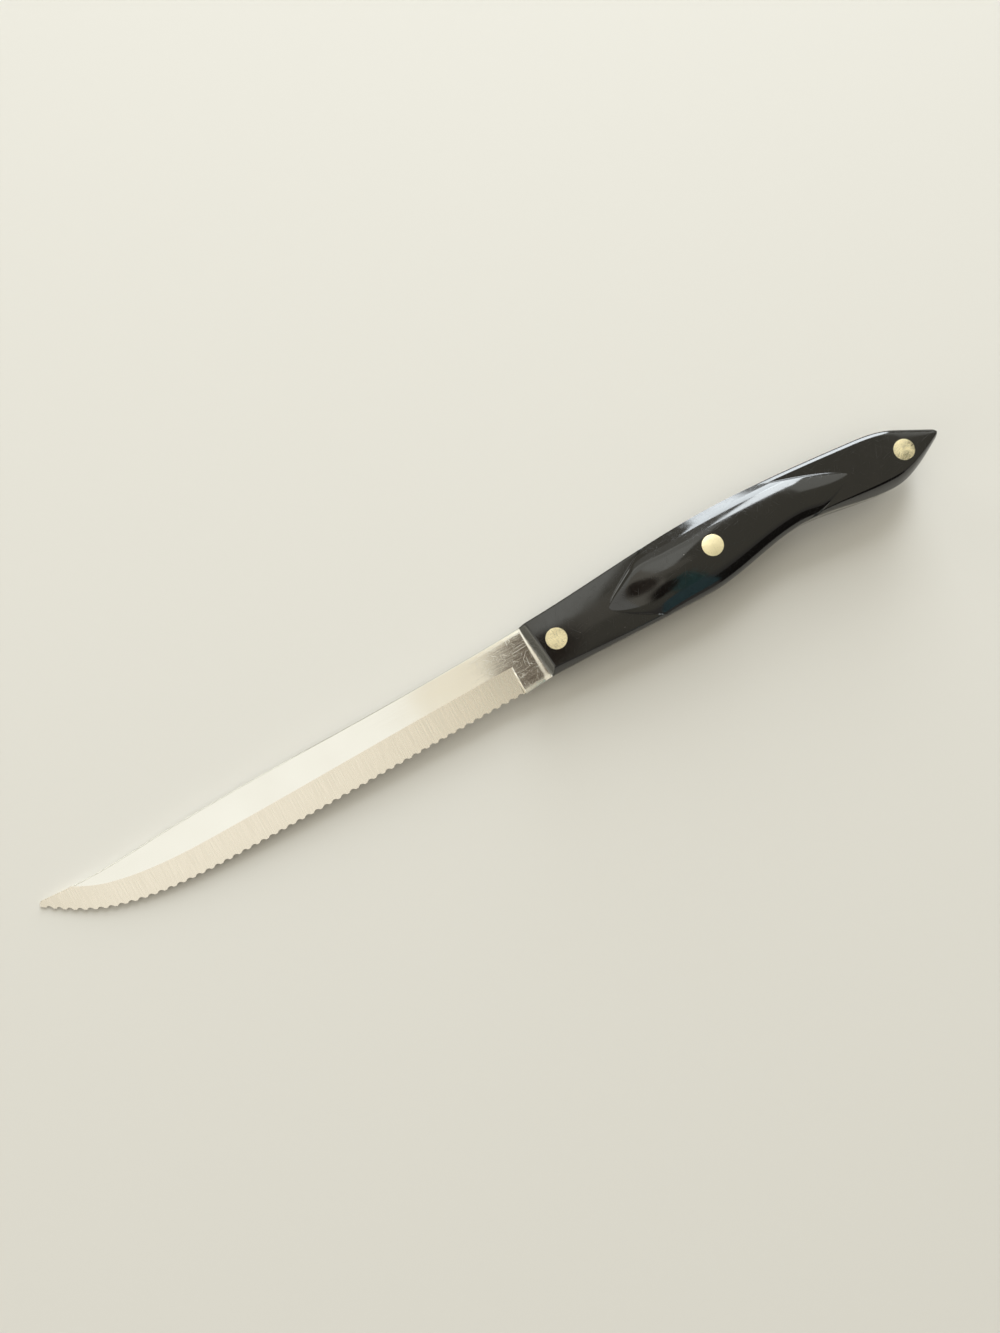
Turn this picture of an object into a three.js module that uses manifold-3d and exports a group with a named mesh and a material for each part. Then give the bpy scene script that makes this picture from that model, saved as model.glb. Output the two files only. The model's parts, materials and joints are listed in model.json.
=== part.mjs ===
// Carving knife with a scalloped edge: a full-tang steel blade between two moulded handle scales,
// held by three two-piece rivets. Millimetres. In the knife's own frame X runs from tip to tail with
// 0 at the front of the handle, Y from edge to back with 0 on the line of the end rivets, and Z
// points out of the left side. The finished knife lies on its right side on the plane Z = 0.

import * as THREE from 'three';
import { mergeVertices } from 'three/addons/utils/BufferGeometryUtils.js';
import { ConvexHull } from 'three/addons/math/ConvexHull.js';
import Module from 'manifold-3d';

const wasm = await Module();
wasm.setup();

// Blade outline. Each curve runs through named points, with its slope there as rise over run.
const BLADE_LENGTH = 172.3;
const STEEL_THICKNESS = 2.0;
const SPINE_SLOPE_AT_HANDLE = 0.05;
const SPINE_MIDDLE_FROM_HANDLE = 68;
const SPINE_MIDDLE_HEIGHT = 7.2;
const SPINE_MIDDLE_SLOPE = 0.005;
const CLIP_START_FROM_TIP = 46;
const CLIP_START_HEIGHT = 6.0;
const CLIP_START_SLOPE = 0.05;
const CLIP_FROM_TIP = 18;
const CLIP_HEIGHT = 4.5;
const TIP_TOP = 5.2;
const TIP_TOP_SLOPE = -0.07;
const TIP_POINT = 3.7;
const TIP_ROUND = 1.5;
const RICASSO_LENGTH = 9;
const RICASSO_BOTTOM = -10.45;
const EDGE_AT_HEEL = -10.1;
const EDGE_SLOPE_AT_HEEL = 0.005;
const BELLY_FROM_TIP = 66;
const BELLY_DEPTH = -11.45;
const BELLY_END_FROM_TIP = 22;
const BELLY_END_DEPTH = -7.7;
const BELLY_END_SLOPE = -0.26;
const EDGE_SLOPE_AT_TIP = -0.75;

// Flat grind from the edge to the full steel
const EDGE_THICKNESS = 0.36;
const GRIND_WIDTH_HEEL = 9.2;
const GRIND_WIDTH_TIP = 6.8;
const GRIND_TAPER = 3;
const PLUNGE_RUN = 0.35;

// Scallops, ground at a slant from the right side
const SCALLOP_PITCH = 3.175;
const SCALLOP_RADIUS = 2.6;
const SCALLOP_DEPTH = 0.6;
const SCALLOP_SLANT_ANGLE = 65;
const SCALLOP_START = 1.6;
const SCALLOP_END_FROM_TIP = 2.5;

// Handle outline, shared by the tang and both scales
const HANDLE_LENGTH = 145.0;
const NOSE_RAKE = 6.3;
const BACK_AT_NOSE = 8.9;
const BACK_SLOPE_AT_NOSE = 0.037;
const BACK_CREST_FROM_NOSE = 68.5;
const BACK_CREST = 13.2;
const BACK_FALL_FROM_TAIL = 29;
const BACK_FALL_HEIGHT = 10.6;
const BACK_FALL_SLOPE = -0.09;
const SHOULDER_FROM_TAIL = 11.4;
const SHOULDER_HEIGHT = 6.9;
const GRIP_AT_NOSE = -9.6;
const GRIP_FROM_NOSE = 57;
const GRIP_DEPTH = -10.5;
const WAIST_FROM_TAIL = 49.6;
const WAIST_DEPTH = -5.05;
const HOOK_FROM_TAIL = 18.6;
const HOOK_DEPTH = -8.9;
const TAIL_HEIGHT = 0;
const TAIL_RADIUS = 1.7;
const TAIL_BACK_ANGLE = 27;
const TAIL_GRIP_ANGLE = 32;

// Scale surface, as heights above the middle plane of the steel
const FRONT_HEIGHT = 6.3;
const REAR_HEIGHT = 6.5;
const FLAT_CROWN = 0.35;
const FRONT_EDGE_ROUND = 0.7;
const REAR_EDGE_ROUND = 2.0;
const EDGE_TURN_ANGLE = 50;
const NOSE_LAND = 0.8;
const NOSE_BEVEL = 2.0;
const SWELL_HEIGHT = 9.6;
const SWELL_FROM_NOSE = 62;
const SWELL_SIDE = 3.2;
const SWELL_ROUNDNESS = 2.1;
const SWELL_CREST_SHIFT = 0.05;

// Bevel along the grip side of each face, steepening outward: its width where it changes, and how
// fast the width changes there
const GRIP_BEVEL_ANGLE = 35;
const GRIP_BEVEL_BEND = 0.8;
const GRIP_BEVEL_AT_NOSE = 2.4;
const GRIP_BEVEL_SLOPE_AT_NOSE = -0.05;
const GRIP_BEVEL_FRONT_FROM_NOSE = 34;
const GRIP_BEVEL_FRONT = 1.1;
const GRIP_BEVEL_AT_WAIST = 0.5;
const GRIP_BEVEL_SLOPE_AT_WAIST = 0.04;
const GRIP_BEVEL_AT_HOOK = 2.9;
const GRIP_BEVEL_AT_TAIL = 1.1;
const GRIP_BEVEL_SLOPE_AT_TAIL = -0.1;

// Arrow-shaped limits of the swell on each face: two legs from a point, each with its run and bend.
// Over its dome run from the point the swell is a dome between the legs, with a ridge that lies a
// share of the way from the grip's leg to the back's.
const FRONT_ARROW_FROM_NOSE = 26.3;
const FRONT_ARROW_BACK_RUN = 18;
const FRONT_ARROW_BACK_BEND = 1.4;
const FRONT_ARROW_GRIP_RUN = 16.3;
const FRONT_ARROW_GRIP_BEND = 1.42;
const FRONT_RISER_ANGLE = 40;
const FRONT_RISER_RUN = 2;
const FRONT_DOME_RUN = 24;
const FRONT_RIDGE = 0.75;
const REAR_ARROW_FROM_TAIL = 32.1;
const REAR_ARROW_BACK_RUN = 28.4;
const REAR_ARROW_BACK_BEND = 1.29;
const REAR_ARROW_GRIP_RUN = 14.3;
const REAR_ARROW_GRIP_BEND = 1.35;
const REAR_RISER_ANGLE = 26;
const REAR_RISER_RUN = 3;
const REAR_DOME_RUN = 20;
const REAR_RIDGE = 0.5;
const DOME_POWER = 0.67;

// Rivets, each a solid post pressed into a hollow sleeve
const RIVET_HEAD_DIAMETER = 7.14;
const RIVET_HEAD_DEPTH = 2.0;
const SLEEVE_DIAMETER = 4.8;
const POST_DIAMETER = 3.0;
const FRONT_RIVET_FROM_NOSE = 7.4;
const MIDDLE_RIVET_FROM_NOSE = 63.6;
const MIDDLE_RIVET_HEIGHT = 2.05;
const REAR_RIVET_FROM_TAIL = 12.4;

// Fits
const BEDDING = 0.05;
const RIVET_CLEARANCE = 0.1;

// Facets
const ROUND_SEGMENTS = 28;
const CURVE_SAMPLES = 60;
const TANG_SAMPLES = 12;
const ACROSS_STEPS = 15;
const BEVEL_STEPS = 2;
const PLACING_PASSES = 12;

// Densities for finding the resting pose, in grams per cubic millimetre
const STEEL_DENSITY = 0.0077;
const RESIN_DENSITY = 0.0014;
const RIVET_DENSITY = 0.0087;

const steel = new THREE.MeshStandardMaterial({ color: 0xc9c7c2, roughness: 0.3, metalness: 1 });
const resin = new THREE.MeshStandardMaterial({ color: 0x0b0a0b, roughness: 0.2, metalness: 0 });
const nickelSilver = new THREE.MeshStandardMaterial({ color: 0xcfc5a6, roughness: 0.32, metalness: 1 });

// Turns a triangle mesh into a solid, dropping triangles that have shrunk to nothing.
function solidOf(geometry) {
  geometry.deleteAttribute('normal');
  geometry.deleteAttribute('uv');
  const merged = mergeVertices(geometry, 1e-5);
  const corners = merged.index.array;
  const kept = [];
  for (let i = 0; i < corners.length; i += 3) {
    const [a, b, c] = [corners[i], corners[i + 1], corners[i + 2]];
    if (a !== b && b !== c && c !== a) {
      kept.push(a, b, c);
    }
  }
  return new wasm.Manifold(new wasm.Mesh({
    numProp: 3,
    vertProperties: new Float32Array(merged.attributes.position.array),
    triVerts: new Uint32Array(kept),
  }));
}

// Turns a solid back into a triangle mesh for the scene.
function geometryOf(solid) {
  const mesh = solid.getMesh();
  const geometry = new THREE.BufferGeometry();
  geometry.setAttribute('position', new THREE.BufferAttribute(mesh.vertProperties, 3));
  geometry.setIndex(new THREE.BufferAttribute(mesh.triVerts, 1));
  geometry.computeVertexNormals();
  return geometry;
}

// Skins a row of closed sections that all have the same number of points, and closes both ends.
function loft(sections) {
  const count = sections[0].length;
  const positions = sections.flat().flatMap((point) => [point.x, point.y, point.z]);
  const indices = [];
  for (let i = 0; i + 1 < sections.length; i += 1) {
    for (let j = 0; j < count; j += 1) {
      const near = i * count + j;
      const nearNext = i * count + (j + 1) % count;
      indices.push(near, nearNext + count, nearNext, near, near + count, nearNext + count);
    }
  }
  const last = (sections.length - 1) * count;
  for (let j = 1; j + 1 < count; j += 1) {
    indices.push(0, j, j + 1, last, last + j + 1, last + j);
  }
  const geometry = new THREE.BufferGeometry();
  geometry.setAttribute('position', new THREE.Float32BufferAttribute(positions, 3));
  geometry.setIndex(indices);
  return geometry;
}

const { lerp: mix, clamp, smoothstep, degToRad: radians } = THREE.MathUtils;

// Gives the height of a drawn line over any X between its ends.
function heightOver(path) {
  const points = path.getPoints(CURVE_SAMPLES).sort((a, b) => a.x - b.x);
  return (x) => {
    let i = 1;
    while (i + 1 < points.length && points[i].x < x) {
      i += 1;
    }
    const [a, b] = [points[i - 1], points[i]];
    const share = b.x > a.x ? (x - a.x) / (b.x - a.x) : 0;
    return mix(a.y, b.y, clamp(share, 0, 1));
  };
}

// Adds a smooth curve to a line, from a slope where it stands to a point and the slope there.
function sweep(path, slopeHere, x, y, slopeThere) {
  const here = path.currentPoint;
  const third = (x - here.x) / 3;
  path.bezierCurveTo(
    here.x + third, here.y + slopeHere * third, x - third, y - slopeThere * third, x, y,
  );
}

// Handle outline: the back line on top and the grip line below, meeting on the round of the tail.
// The nose is a straight line raked back toward the grip.
const noseAt = (y) => -y * Math.tan(radians(NOSE_RAKE));
const fallX = HANDLE_LENGTH - BACK_FALL_FROM_TAIL;
const shoulderX = HANDLE_LENGTH - SHOULDER_FROM_TAIL;
const waistX = HANDLE_LENGTH - WAIST_FROM_TAIL;
const hookX = HANDLE_LENGTH - HOOK_FROM_TAIL;
const tailX = HANDLE_LENGTH - TAIL_RADIUS;
const backTurn = radians(90 - TAIL_BACK_ANGLE);
const gripTurn = radians(TAIL_GRIP_ANGLE - 90);
const backTailSlope = -Math.tan(radians(TAIL_BACK_ANGLE));
const gripTailSlope = Math.tan(radians(TAIL_GRIP_ANGLE));

const backLine = new THREE.Path();
backLine.moveTo(noseAt(BACK_AT_NOSE), BACK_AT_NOSE);
sweep(backLine, BACK_SLOPE_AT_NOSE, BACK_CREST_FROM_NOSE, BACK_CREST, 0);
sweep(backLine, 0, fallX, BACK_FALL_HEIGHT, BACK_FALL_SLOPE);
sweep(backLine, BACK_FALL_SLOPE, shoulderX, SHOULDER_HEIGHT, backTailSlope);
backLine.absarc(tailX, TAIL_HEIGHT, TAIL_RADIUS, backTurn, 0, true);

const gripLine = new THREE.Path();
gripLine.moveTo(noseAt(GRIP_AT_NOSE), GRIP_AT_NOSE);
sweep(gripLine, 0, GRIP_FROM_NOSE, GRIP_DEPTH, 0);
sweep(gripLine, 0, waistX, WAIST_DEPTH, 0);
sweep(gripLine, 0, hookX, HOOK_DEPTH, 0);
const hookEndX = tailX + TAIL_RADIUS * Math.cos(gripTurn);
const hookEndY = TAIL_HEIGHT + TAIL_RADIUS * Math.sin(gripTurn);
sweep(gripLine, 0, hookEndX, hookEndY, gripTailSlope);
gripLine.absarc(tailX, TAIL_HEIGHT, TAIL_RADIUS, gripTurn, 0, false);
const backAt = heightOver(backLine);
const gripAt = heightOver(gripLine);

// Blade outline: the spine with its shallow clip, and the edge with its belly, meeting at the tip.
const tipX = -BLADE_LENGTH;
const clipStartX = tipX + CLIP_START_FROM_TIP;
const clipX = tipX + CLIP_FROM_TIP;
const bellyX = tipX + BELLY_FROM_TIP;
const bellyEndX = tipX + BELLY_END_FROM_TIP;
const heelX = -RICASSO_LENGTH;
const spineMiddleX = -SPINE_MIDDLE_FROM_HANDLE;

const spineLine = new THREE.Path();
spineLine.moveTo(noseAt(BACK_AT_NOSE), BACK_AT_NOSE);
sweep(spineLine, SPINE_SLOPE_AT_HANDLE, spineMiddleX, SPINE_MIDDLE_HEIGHT, SPINE_MIDDLE_SLOPE);
sweep(spineLine, SPINE_MIDDLE_SLOPE, clipStartX, CLIP_START_HEIGHT, CLIP_START_SLOPE);
sweep(spineLine, CLIP_START_SLOPE, clipX, CLIP_HEIGHT, 0);
sweep(spineLine, 0, tipX + TIP_ROUND, TIP_TOP, TIP_TOP_SLOPE);
spineLine.quadraticCurveTo(tipX, TIP_TOP, tipX, TIP_POINT);

const edgeLine = new THREE.Path();
edgeLine.moveTo(heelX, EDGE_AT_HEEL);
sweep(edgeLine, EDGE_SLOPE_AT_HEEL, bellyX, BELLY_DEPTH, 0);
sweep(edgeLine, 0, bellyEndX, BELLY_END_DEPTH, BELLY_END_SLOPE);
sweep(edgeLine, BELLY_END_SLOPE, tipX, TIP_POINT, EDGE_SLOPE_AT_TIP);
const spineAt = heightOver(spineLine);
const edgeAt = heightOver(edgeLine);

// One section across the steel: edge, grind line and spine on the left face, then the right face.
function steelSection(bottom, middle, top) {
  const left = [bottom, middle, top].map(([x, y, thick]) => new THREE.Vector3(x, y, thick / 2));
  const right = left.map((point) => new THREE.Vector3(point.x, point.y, -point.z)).reverse();
  return [...left, ...right];
}

// A ground section: the steel thickens evenly from the edge to the grind line, then stays full.
function groundSection(x) {
  const step = 0.5;
  const slope = (edgeAt(x + step) - edgeAt(x - step)) / (2 * step);
  const along = (x - heelX) / (tipX - heelX);
  const width = mix(GRIND_WIDTH_HEEL, GRIND_WIDTH_TIP, along ** GRIND_TAPER);
  const rise = width * Math.hypot(1, slope);
  const depth = spineAt(x) - edgeAt(x);
  const share = Math.min(depth / rise, 1);
  const thick = mix(EDGE_THICKNESS, STEEL_THICKNESS, share);
  const grindY = edgeAt(x) + rise * share;
  return steelSection([x, edgeAt(x), EDGE_THICKNESS], [x, grindY, thick], [x, spineAt(x), thick]);
}

// A full-thickness section on a line that may be raked.
function fullSection(bottomX, bottomY, topX, topY) {
  const middleY = edgeAt(heelX) + GRIND_WIDTH_HEEL;
  const middleX = mix(bottomX, topX, (middleY - bottomY) / (topY - bottomY));
  const thick = STEEL_THICKNESS;
  return steelSection([bottomX, bottomY, thick], [middleX, middleY, thick], [topX, topY, thick]);
}

// Ground blade from the tip to the heel, then the full-thickness ricasso up to the handle.
function bladeBlank() {
  const sections = [];
  const tipCount = 16;
  for (let i = 0; i <= tipCount; i += 1) {
    sections.push(groundSection(mix(tipX, bellyX, (i / tipCount) ** 2)));
  }
  const longCount = 12;
  for (let i = 1; i <= longCount; i += 1) {
    sections.push(groundSection(mix(bellyX, heelX, i / longCount)));
  }
  const fullX = heelX + PLUNGE_RUN;
  sections.push(fullSection(fullX, RICASSO_BOTTOM, fullX, spineAt(fullX)));
  sections.push(fullSection(noseAt(GRIP_AT_NOSE), GRIP_AT_NOSE, noseAt(BACK_AT_NOSE), BACK_AT_NOSE));
  return solidOf(loft(sections));
}

// One scallop cutter: a round wheel path that meets the left face at the set depth and runs
// deeper into the right face.
function scallopCutter(point, tangent) {
  const outward = new THREE.Vector3(tangent.y, -tangent.x, 0).normalize();
  if (outward.y > 0) {
    outward.negate();
  }
  const slant = radians(SCALLOP_SLANT_ANGLE);
  const axis = outward.clone().multiplyScalar(Math.sin(slant));
  axis.z = Math.cos(slant);
  const reach = 14;
  const cylinder = new THREE.CylinderGeometry(SCALLOP_RADIUS, SCALLOP_RADIUS, reach, ROUND_SEGMENTS);
  cylinder.applyQuaternion(
    new THREE.Quaternion().setFromUnitVectors(new THREE.Vector3(0, 1, 0), axis),
  );
  const offset = SCALLOP_RADIUS / Math.cos(slant) - SCALLOP_DEPTH;
  cylinder.translate(point.x + outward.x * offset, point.y + outward.y * offset, EDGE_THICKNESS / 2);
  return solidOf(cylinder);
}

// Every scallop along the edge, evenly spaced from the heel.
function scallopCutters() {
  const length = edgeLine.getLength();
  const cutters = [];
  for (let at = SCALLOP_START; at < length - SCALLOP_END_FROM_TIP; at += SCALLOP_PITCH) {
    const share = at / length;
    cutters.push(scallopCutter(edgeLine.getPointAt(share), edgeLine.getTangentAt(share)));
  }
  return cutters;
}

const rivetPlaces = [
  { name: 'front', x: FRONT_RIVET_FROM_NOSE, y: 0 },
  { name: 'middle', x: MIDDLE_RIVET_FROM_NOSE, y: MIDDLE_RIVET_HEIGHT },
  { name: 'rear', x: HANDLE_LENGTH - REAR_RIVET_FROM_TAIL, y: 0 },
];

// Full tang: the handle outline in steel, ground a bedding film thinner than the blade on each side.
function tang() {
  const lap = 3;
  const outline = new THREE.Shape([
    new THREE.Vector2(noseAt(GRIP_AT_NOSE) - lap, GRIP_AT_NOSE + lap / 3),
    ...gripLine.getPoints(TANG_SAMPLES),
    ...backLine.getPoints(TANG_SAMPLES).reverse().slice(1),
    new THREE.Vector2(noseAt(BACK_AT_NOSE) - lap, BACK_AT_NOSE - lap / 3),
  ]);
  for (const place of rivetPlaces) {
    const hole = new THREE.Path();
    hole.absarc(place.x, place.y, SLEEVE_DIAMETER / 2 + RIVET_CLEARANCE, 0, 2 * Math.PI, true);
    outline.holes.push(hole);
  }
  const depth = STEEL_THICKNESS - 2 * BEDDING;
  const geometry = new THREE.ExtrudeGeometry(outline, {
    depth, bevelEnabled: false, curveSegments: ROUND_SEGMENTS / 2,
  });
  geometry.translate(0, 0, -depth / 2);
  return solidOf(geometry);
}

let bladeSolid = bladeBlank().add(tang());
for (const cutter of scallopCutters()) {
  bladeSolid = bladeSolid.subtract(cutter);
}

// Width of the bevel along the grip, drawn as a line over the length of the handle.
const gripBevelLine = new THREE.Path();
gripBevelLine.moveTo(noseAt(BACK_AT_NOSE), GRIP_BEVEL_AT_NOSE);
sweep(gripBevelLine, GRIP_BEVEL_SLOPE_AT_NOSE, GRIP_BEVEL_FRONT_FROM_NOSE, GRIP_BEVEL_FRONT, 0);
sweep(gripBevelLine, 0, waistX, GRIP_BEVEL_AT_WAIST, GRIP_BEVEL_SLOPE_AT_WAIST);
sweep(gripBevelLine, GRIP_BEVEL_SLOPE_AT_WAIST, hookX, GRIP_BEVEL_AT_HOOK, 0);
sweep(gripBevelLine, 0, HANDLE_LENGTH, GRIP_BEVEL_AT_TAIL, GRIP_BEVEL_SLOPE_AT_TAIL);
const gripBevelAt = heightOver(gripBevelLine);

// Half the height of the handle over X, never quite nothing, so that shares of it can be taken.
const halfAt = (x) => Math.max((backAt(x) - gripAt(x)) / 2, 1e-6);

// Level of the handle's face before it is crowned, rounded and bevelled.
const levelAt = (x) => mix(FRONT_HEIGHT, REAR_HEIGHT, x / HANDLE_LENGTH);

// Height of the plain handle face: a slightly crowned flat that rounds down toward the back edge and
// falls away in a bevel along the grip.
function flatHeight(x, across) {
  const fromBack = (1 - across) * halfAt(x);
  const fromGrip = (1 + across) * halfAt(x);
  const radius = x < SWELL_FROM_NOSE ? FRONT_EDGE_ROUND : REAR_EDGE_ROUND;
  const short = clamp(radius * Math.sin(radians(EDGE_TURN_ANGLE)) - fromBack, 0, radius);
  const rounded = radius - Math.sqrt(radius ** 2 - short ** 2);
  const width = gripBevelAt(x);
  const into = clamp(1 - fromGrip / width, 0, 1);
  const bevelled = width * (Math.tan(radians(GRIP_BEVEL_ANGLE)) * into + GRIP_BEVEL_BEND * into ** 2);
  return levelAt(x) - FLAT_CROWN * across ** 2 - rounded - bevelled;
}

// Lines of the two arrows, over the share of the way across from the grip line (-1) to the back (1).
const frontArrowX = FRONT_ARROW_FROM_NOSE;
const rearArrowX = HANDLE_LENGTH - REAR_ARROW_FROM_TAIL;
function arrowLeg(across, backRun, backBend, gripRun, gripBend) {
  return across > 0 ? backRun * across ** backBend : gripRun * (-across) ** gripBend;
}
const frontArrow = (across) => frontArrowX + arrowLeg(
  across, FRONT_ARROW_BACK_RUN, FRONT_ARROW_BACK_BEND, FRONT_ARROW_GRIP_RUN, FRONT_ARROW_GRIP_BEND,
);
const rearArrow = (across) => rearArrowX - arrowLeg(
  across, REAR_ARROW_BACK_RUN, REAR_ARROW_BACK_BEND, REAR_ARROW_GRIP_RUN, REAR_ARROW_GRIP_BEND,
);

// How far across an arrow's leg has spread at a distance from the point, up to the whole half.
const legSpread = (distance, run, bend) => clamp(distance / run, 1e-9, 1) ** (1 / bend);

// Height of the swell: a hump along the handle. Near an arrow's point it is a dome between the
// arrow's legs, and from there it grows into a round section over the whole width.
function swellHeight(x, across) {
  const front = x < SWELL_FROM_NOSE;
  const reach = front ? frontArrowX : rearArrowX;
  const along = Math.min(Math.abs((x - SWELL_FROM_NOSE) / (reach - SWELL_FROM_NOSE)), 1);
  const crest = mix(SWELL_HEIGHT, levelAt(x), along ** 2);
  const side = Math.abs(across - SWELL_CREST_SHIFT);
  const full = 1 - SWELL_CREST_SHIFT * Math.sign(across - SWELL_CREST_SHIFT);
  const section = 1 - Math.min(side / full, 1) ** SWELL_ROUNDNESS;
  const wide = mix(SWELL_SIDE, crest, section ** (1 / SWELL_ROUNDNESS));
  const fromPoint = front ? x - frontArrowX : rearArrowX - x;
  const backLeg = front
    ? legSpread(fromPoint, FRONT_ARROW_BACK_RUN, FRONT_ARROW_BACK_BEND)
    : legSpread(fromPoint, REAR_ARROW_BACK_RUN, REAR_ARROW_BACK_BEND);
  const gripLeg = front
    ? legSpread(fromPoint, FRONT_ARROW_GRIP_RUN, FRONT_ARROW_GRIP_BEND)
    : legSpread(fromPoint, REAR_ARROW_GRIP_RUN, REAR_ARROW_GRIP_BEND);
  const ridge = mix(-gripLeg, backLeg, front ? FRONT_RIDGE : REAR_RIDGE);
  const leg = across > ridge ? backLeg : -gripLeg;
  const foot = levelAt(x) - FLAT_CROWN * leg ** 2;
  const share = clamp((across - ridge) / (leg - ridge), 0, 1);
  const dome = mix(foot, crest, (1 - share ** 2) ** DOME_POWER);
  return mix(dome, wide, smoothstep(fromPoint, 0, front ? FRONT_DOME_RUN : REAR_DOME_RUN));
}

// Height of the finished face above the steel's middle plane. Between the arrows the swell takes
// over from the flat, no faster than the slope of the arrow's riser.
function faceHeight(x, y) {
  const across = clamp((y - (backAt(x) + gripAt(x)) / 2) / halfAt(x), -1, 1);
  const flat = flatHeight(x, across);
  const frontRise = (x - frontArrow(across)) * Math.tan(radians(FRONT_RISER_ANGLE));
  const rearRise = (rearArrow(across) - x) * Math.tan(radians(REAR_RISER_ANGLE));
  const rise = Math.max(Math.min(frontRise, rearRise), 0);
  const shaped = flat + clamp(swellHeight(x, across) - flat, -rise, rise);
  const noseHeight = STEEL_THICKNESS / 2 + NOSE_LAND;
  const bevel = noseHeight + (x - noseAt(y)) * (FRONT_HEIGHT - noseHeight) / NOSE_BEVEL;
  return Math.min(shaped, bevel);
}

// Stations along a scale: lines across it, each with its number of steps to the next. The stations
// follow the nose and the arrows, so that every crease of the face lies on a row of corners.
const stations = [
  { line: (across, y) => noseAt(y), steps: 2 },
  { line: (across, y) => noseAt(y) + NOSE_BEVEL, steps: 3 },
  { line: frontArrow, steps: 2 },
  { line: (across) => frontArrow(across) + FRONT_RISER_RUN, steps: 8 },
  { line: () => SWELL_FROM_NOSE, steps: 9 },
  { line: (across) => rearArrow(across) - REAR_RISER_RUN, steps: 2 },
  { line: rearArrow, steps: 5 },
  { line: () => hookX, steps: 9 },
  { line: () => tailX, steps: 5 },
  { line: () => HANDLE_LENGTH, steps: 0 },
];

// Rows of corners across a scale: a few over the grip bevel, with one on its crease, and the rest up
// to the back, closer together near both ends.
const rows = [];
for (let row = -BEVEL_STEPS; row <= ACROSS_STEPS; row += 1) {
  rows.push(row);
}
function acrossAt(row, x) {
  const crease = Math.min(gripBevelAt(x) / halfAt(x), 1) - 1;
  if (row < 0) {
    return mix(crease, -1, -row / BEVEL_STEPS);
  }
  return mix(crease, 1, (1 - Math.cos(row / ACROSS_STEPS * Math.PI)) / 2);
}

// A point of the outline strip: its place across is read again once the station gives its X.
function acrossPoint(lineFrom, lineTo, share, row) {
  let y = row > 0 ? BACK_AT_NOSE : GRIP_AT_NOSE;
  let x = noseAt(y);
  for (let pass = 0; pass < PLACING_PASSES; pass += 1) {
    const across = acrossAt(row, x);
    x = mix(lineFrom(across, y), lineTo(across, y), share);
    y = mix(gripAt(x), backAt(x), (acrossAt(row, x) + 1) / 2);
  }
  return new THREE.Vector2(x, y);
}

// The undrilled left scale, lofted from nose to tail through sections that follow the arrows.
function scaleBlank() {
  const inner = STEEL_THICKNESS / 2;
  const sections = [];
  stations.forEach(({ line, steps }, index) => {
    const next = stations[Math.min(index + 1, stations.length - 1)].line;
    const last = index === stations.length - 2;
    for (let step = 0; step < Math.max(steps, 1); step += 1) {
      const even = step / Math.max(steps, 1);
      const share = last ? Math.sin(even * Math.PI / 2) : even;
      const top = rows.map((row) => {
        const place = acrossPoint(line, next, share, row);
        return new THREE.Vector3(place.x, place.y, faceHeight(place.x, place.y));
      });
      const [first, end] = [top[0], top[top.length - 1]];
      sections.push([
        new THREE.Vector3(first.x, first.y, inner),
        ...top,
        new THREE.Vector3(end.x, end.y, inner),
      ]);
    }
  });
  return solidOf(loft(sections));
}

// Mirrors a solid to the right side of the knife.
const mirrored = (solid) => solid.mirror([0, 0, 1]);

// A turned piece standing on the Z axis, from its half profile of radius and height.
function turned(profile, place) {
  const points = profile.map(([radius, height]) => new THREE.Vector2(radius, height));
  const geometry = new THREE.LatheGeometry(points, ROUND_SEGMENTS);
  geometry.rotateX(Math.PI / 2);
  geometry.translate(place.x, place.y, 0);
  return solidOf(geometry);
}

const leftBlank = scaleBlank();
const headRadius = RIVET_HEAD_DIAMETER / 2;
const sleeveRadius = SLEEVE_DIAMETER / 2;
const postRadius = POST_DIAMETER / 2;
const overall = SWELL_HEIGHT + RIVET_HEAD_DEPTH;

// Seat of a rivet head: a set depth below the lowest point of the face round the head.
function seatHeight(place) {
  let lowest = SWELL_HEIGHT;
  for (let i = 0; i < ROUND_SEGMENTS; i += 1) {
    const turn = 2 * Math.PI * i / ROUND_SEGMENTS;
    const x = place.x + headRadius * Math.cos(turn);
    const y = place.y + headRadius * Math.sin(turn);
    lowest = Math.min(lowest, faceHeight(x, y));
  }
  return lowest - RIVET_HEAD_DEPTH;
}

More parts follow.
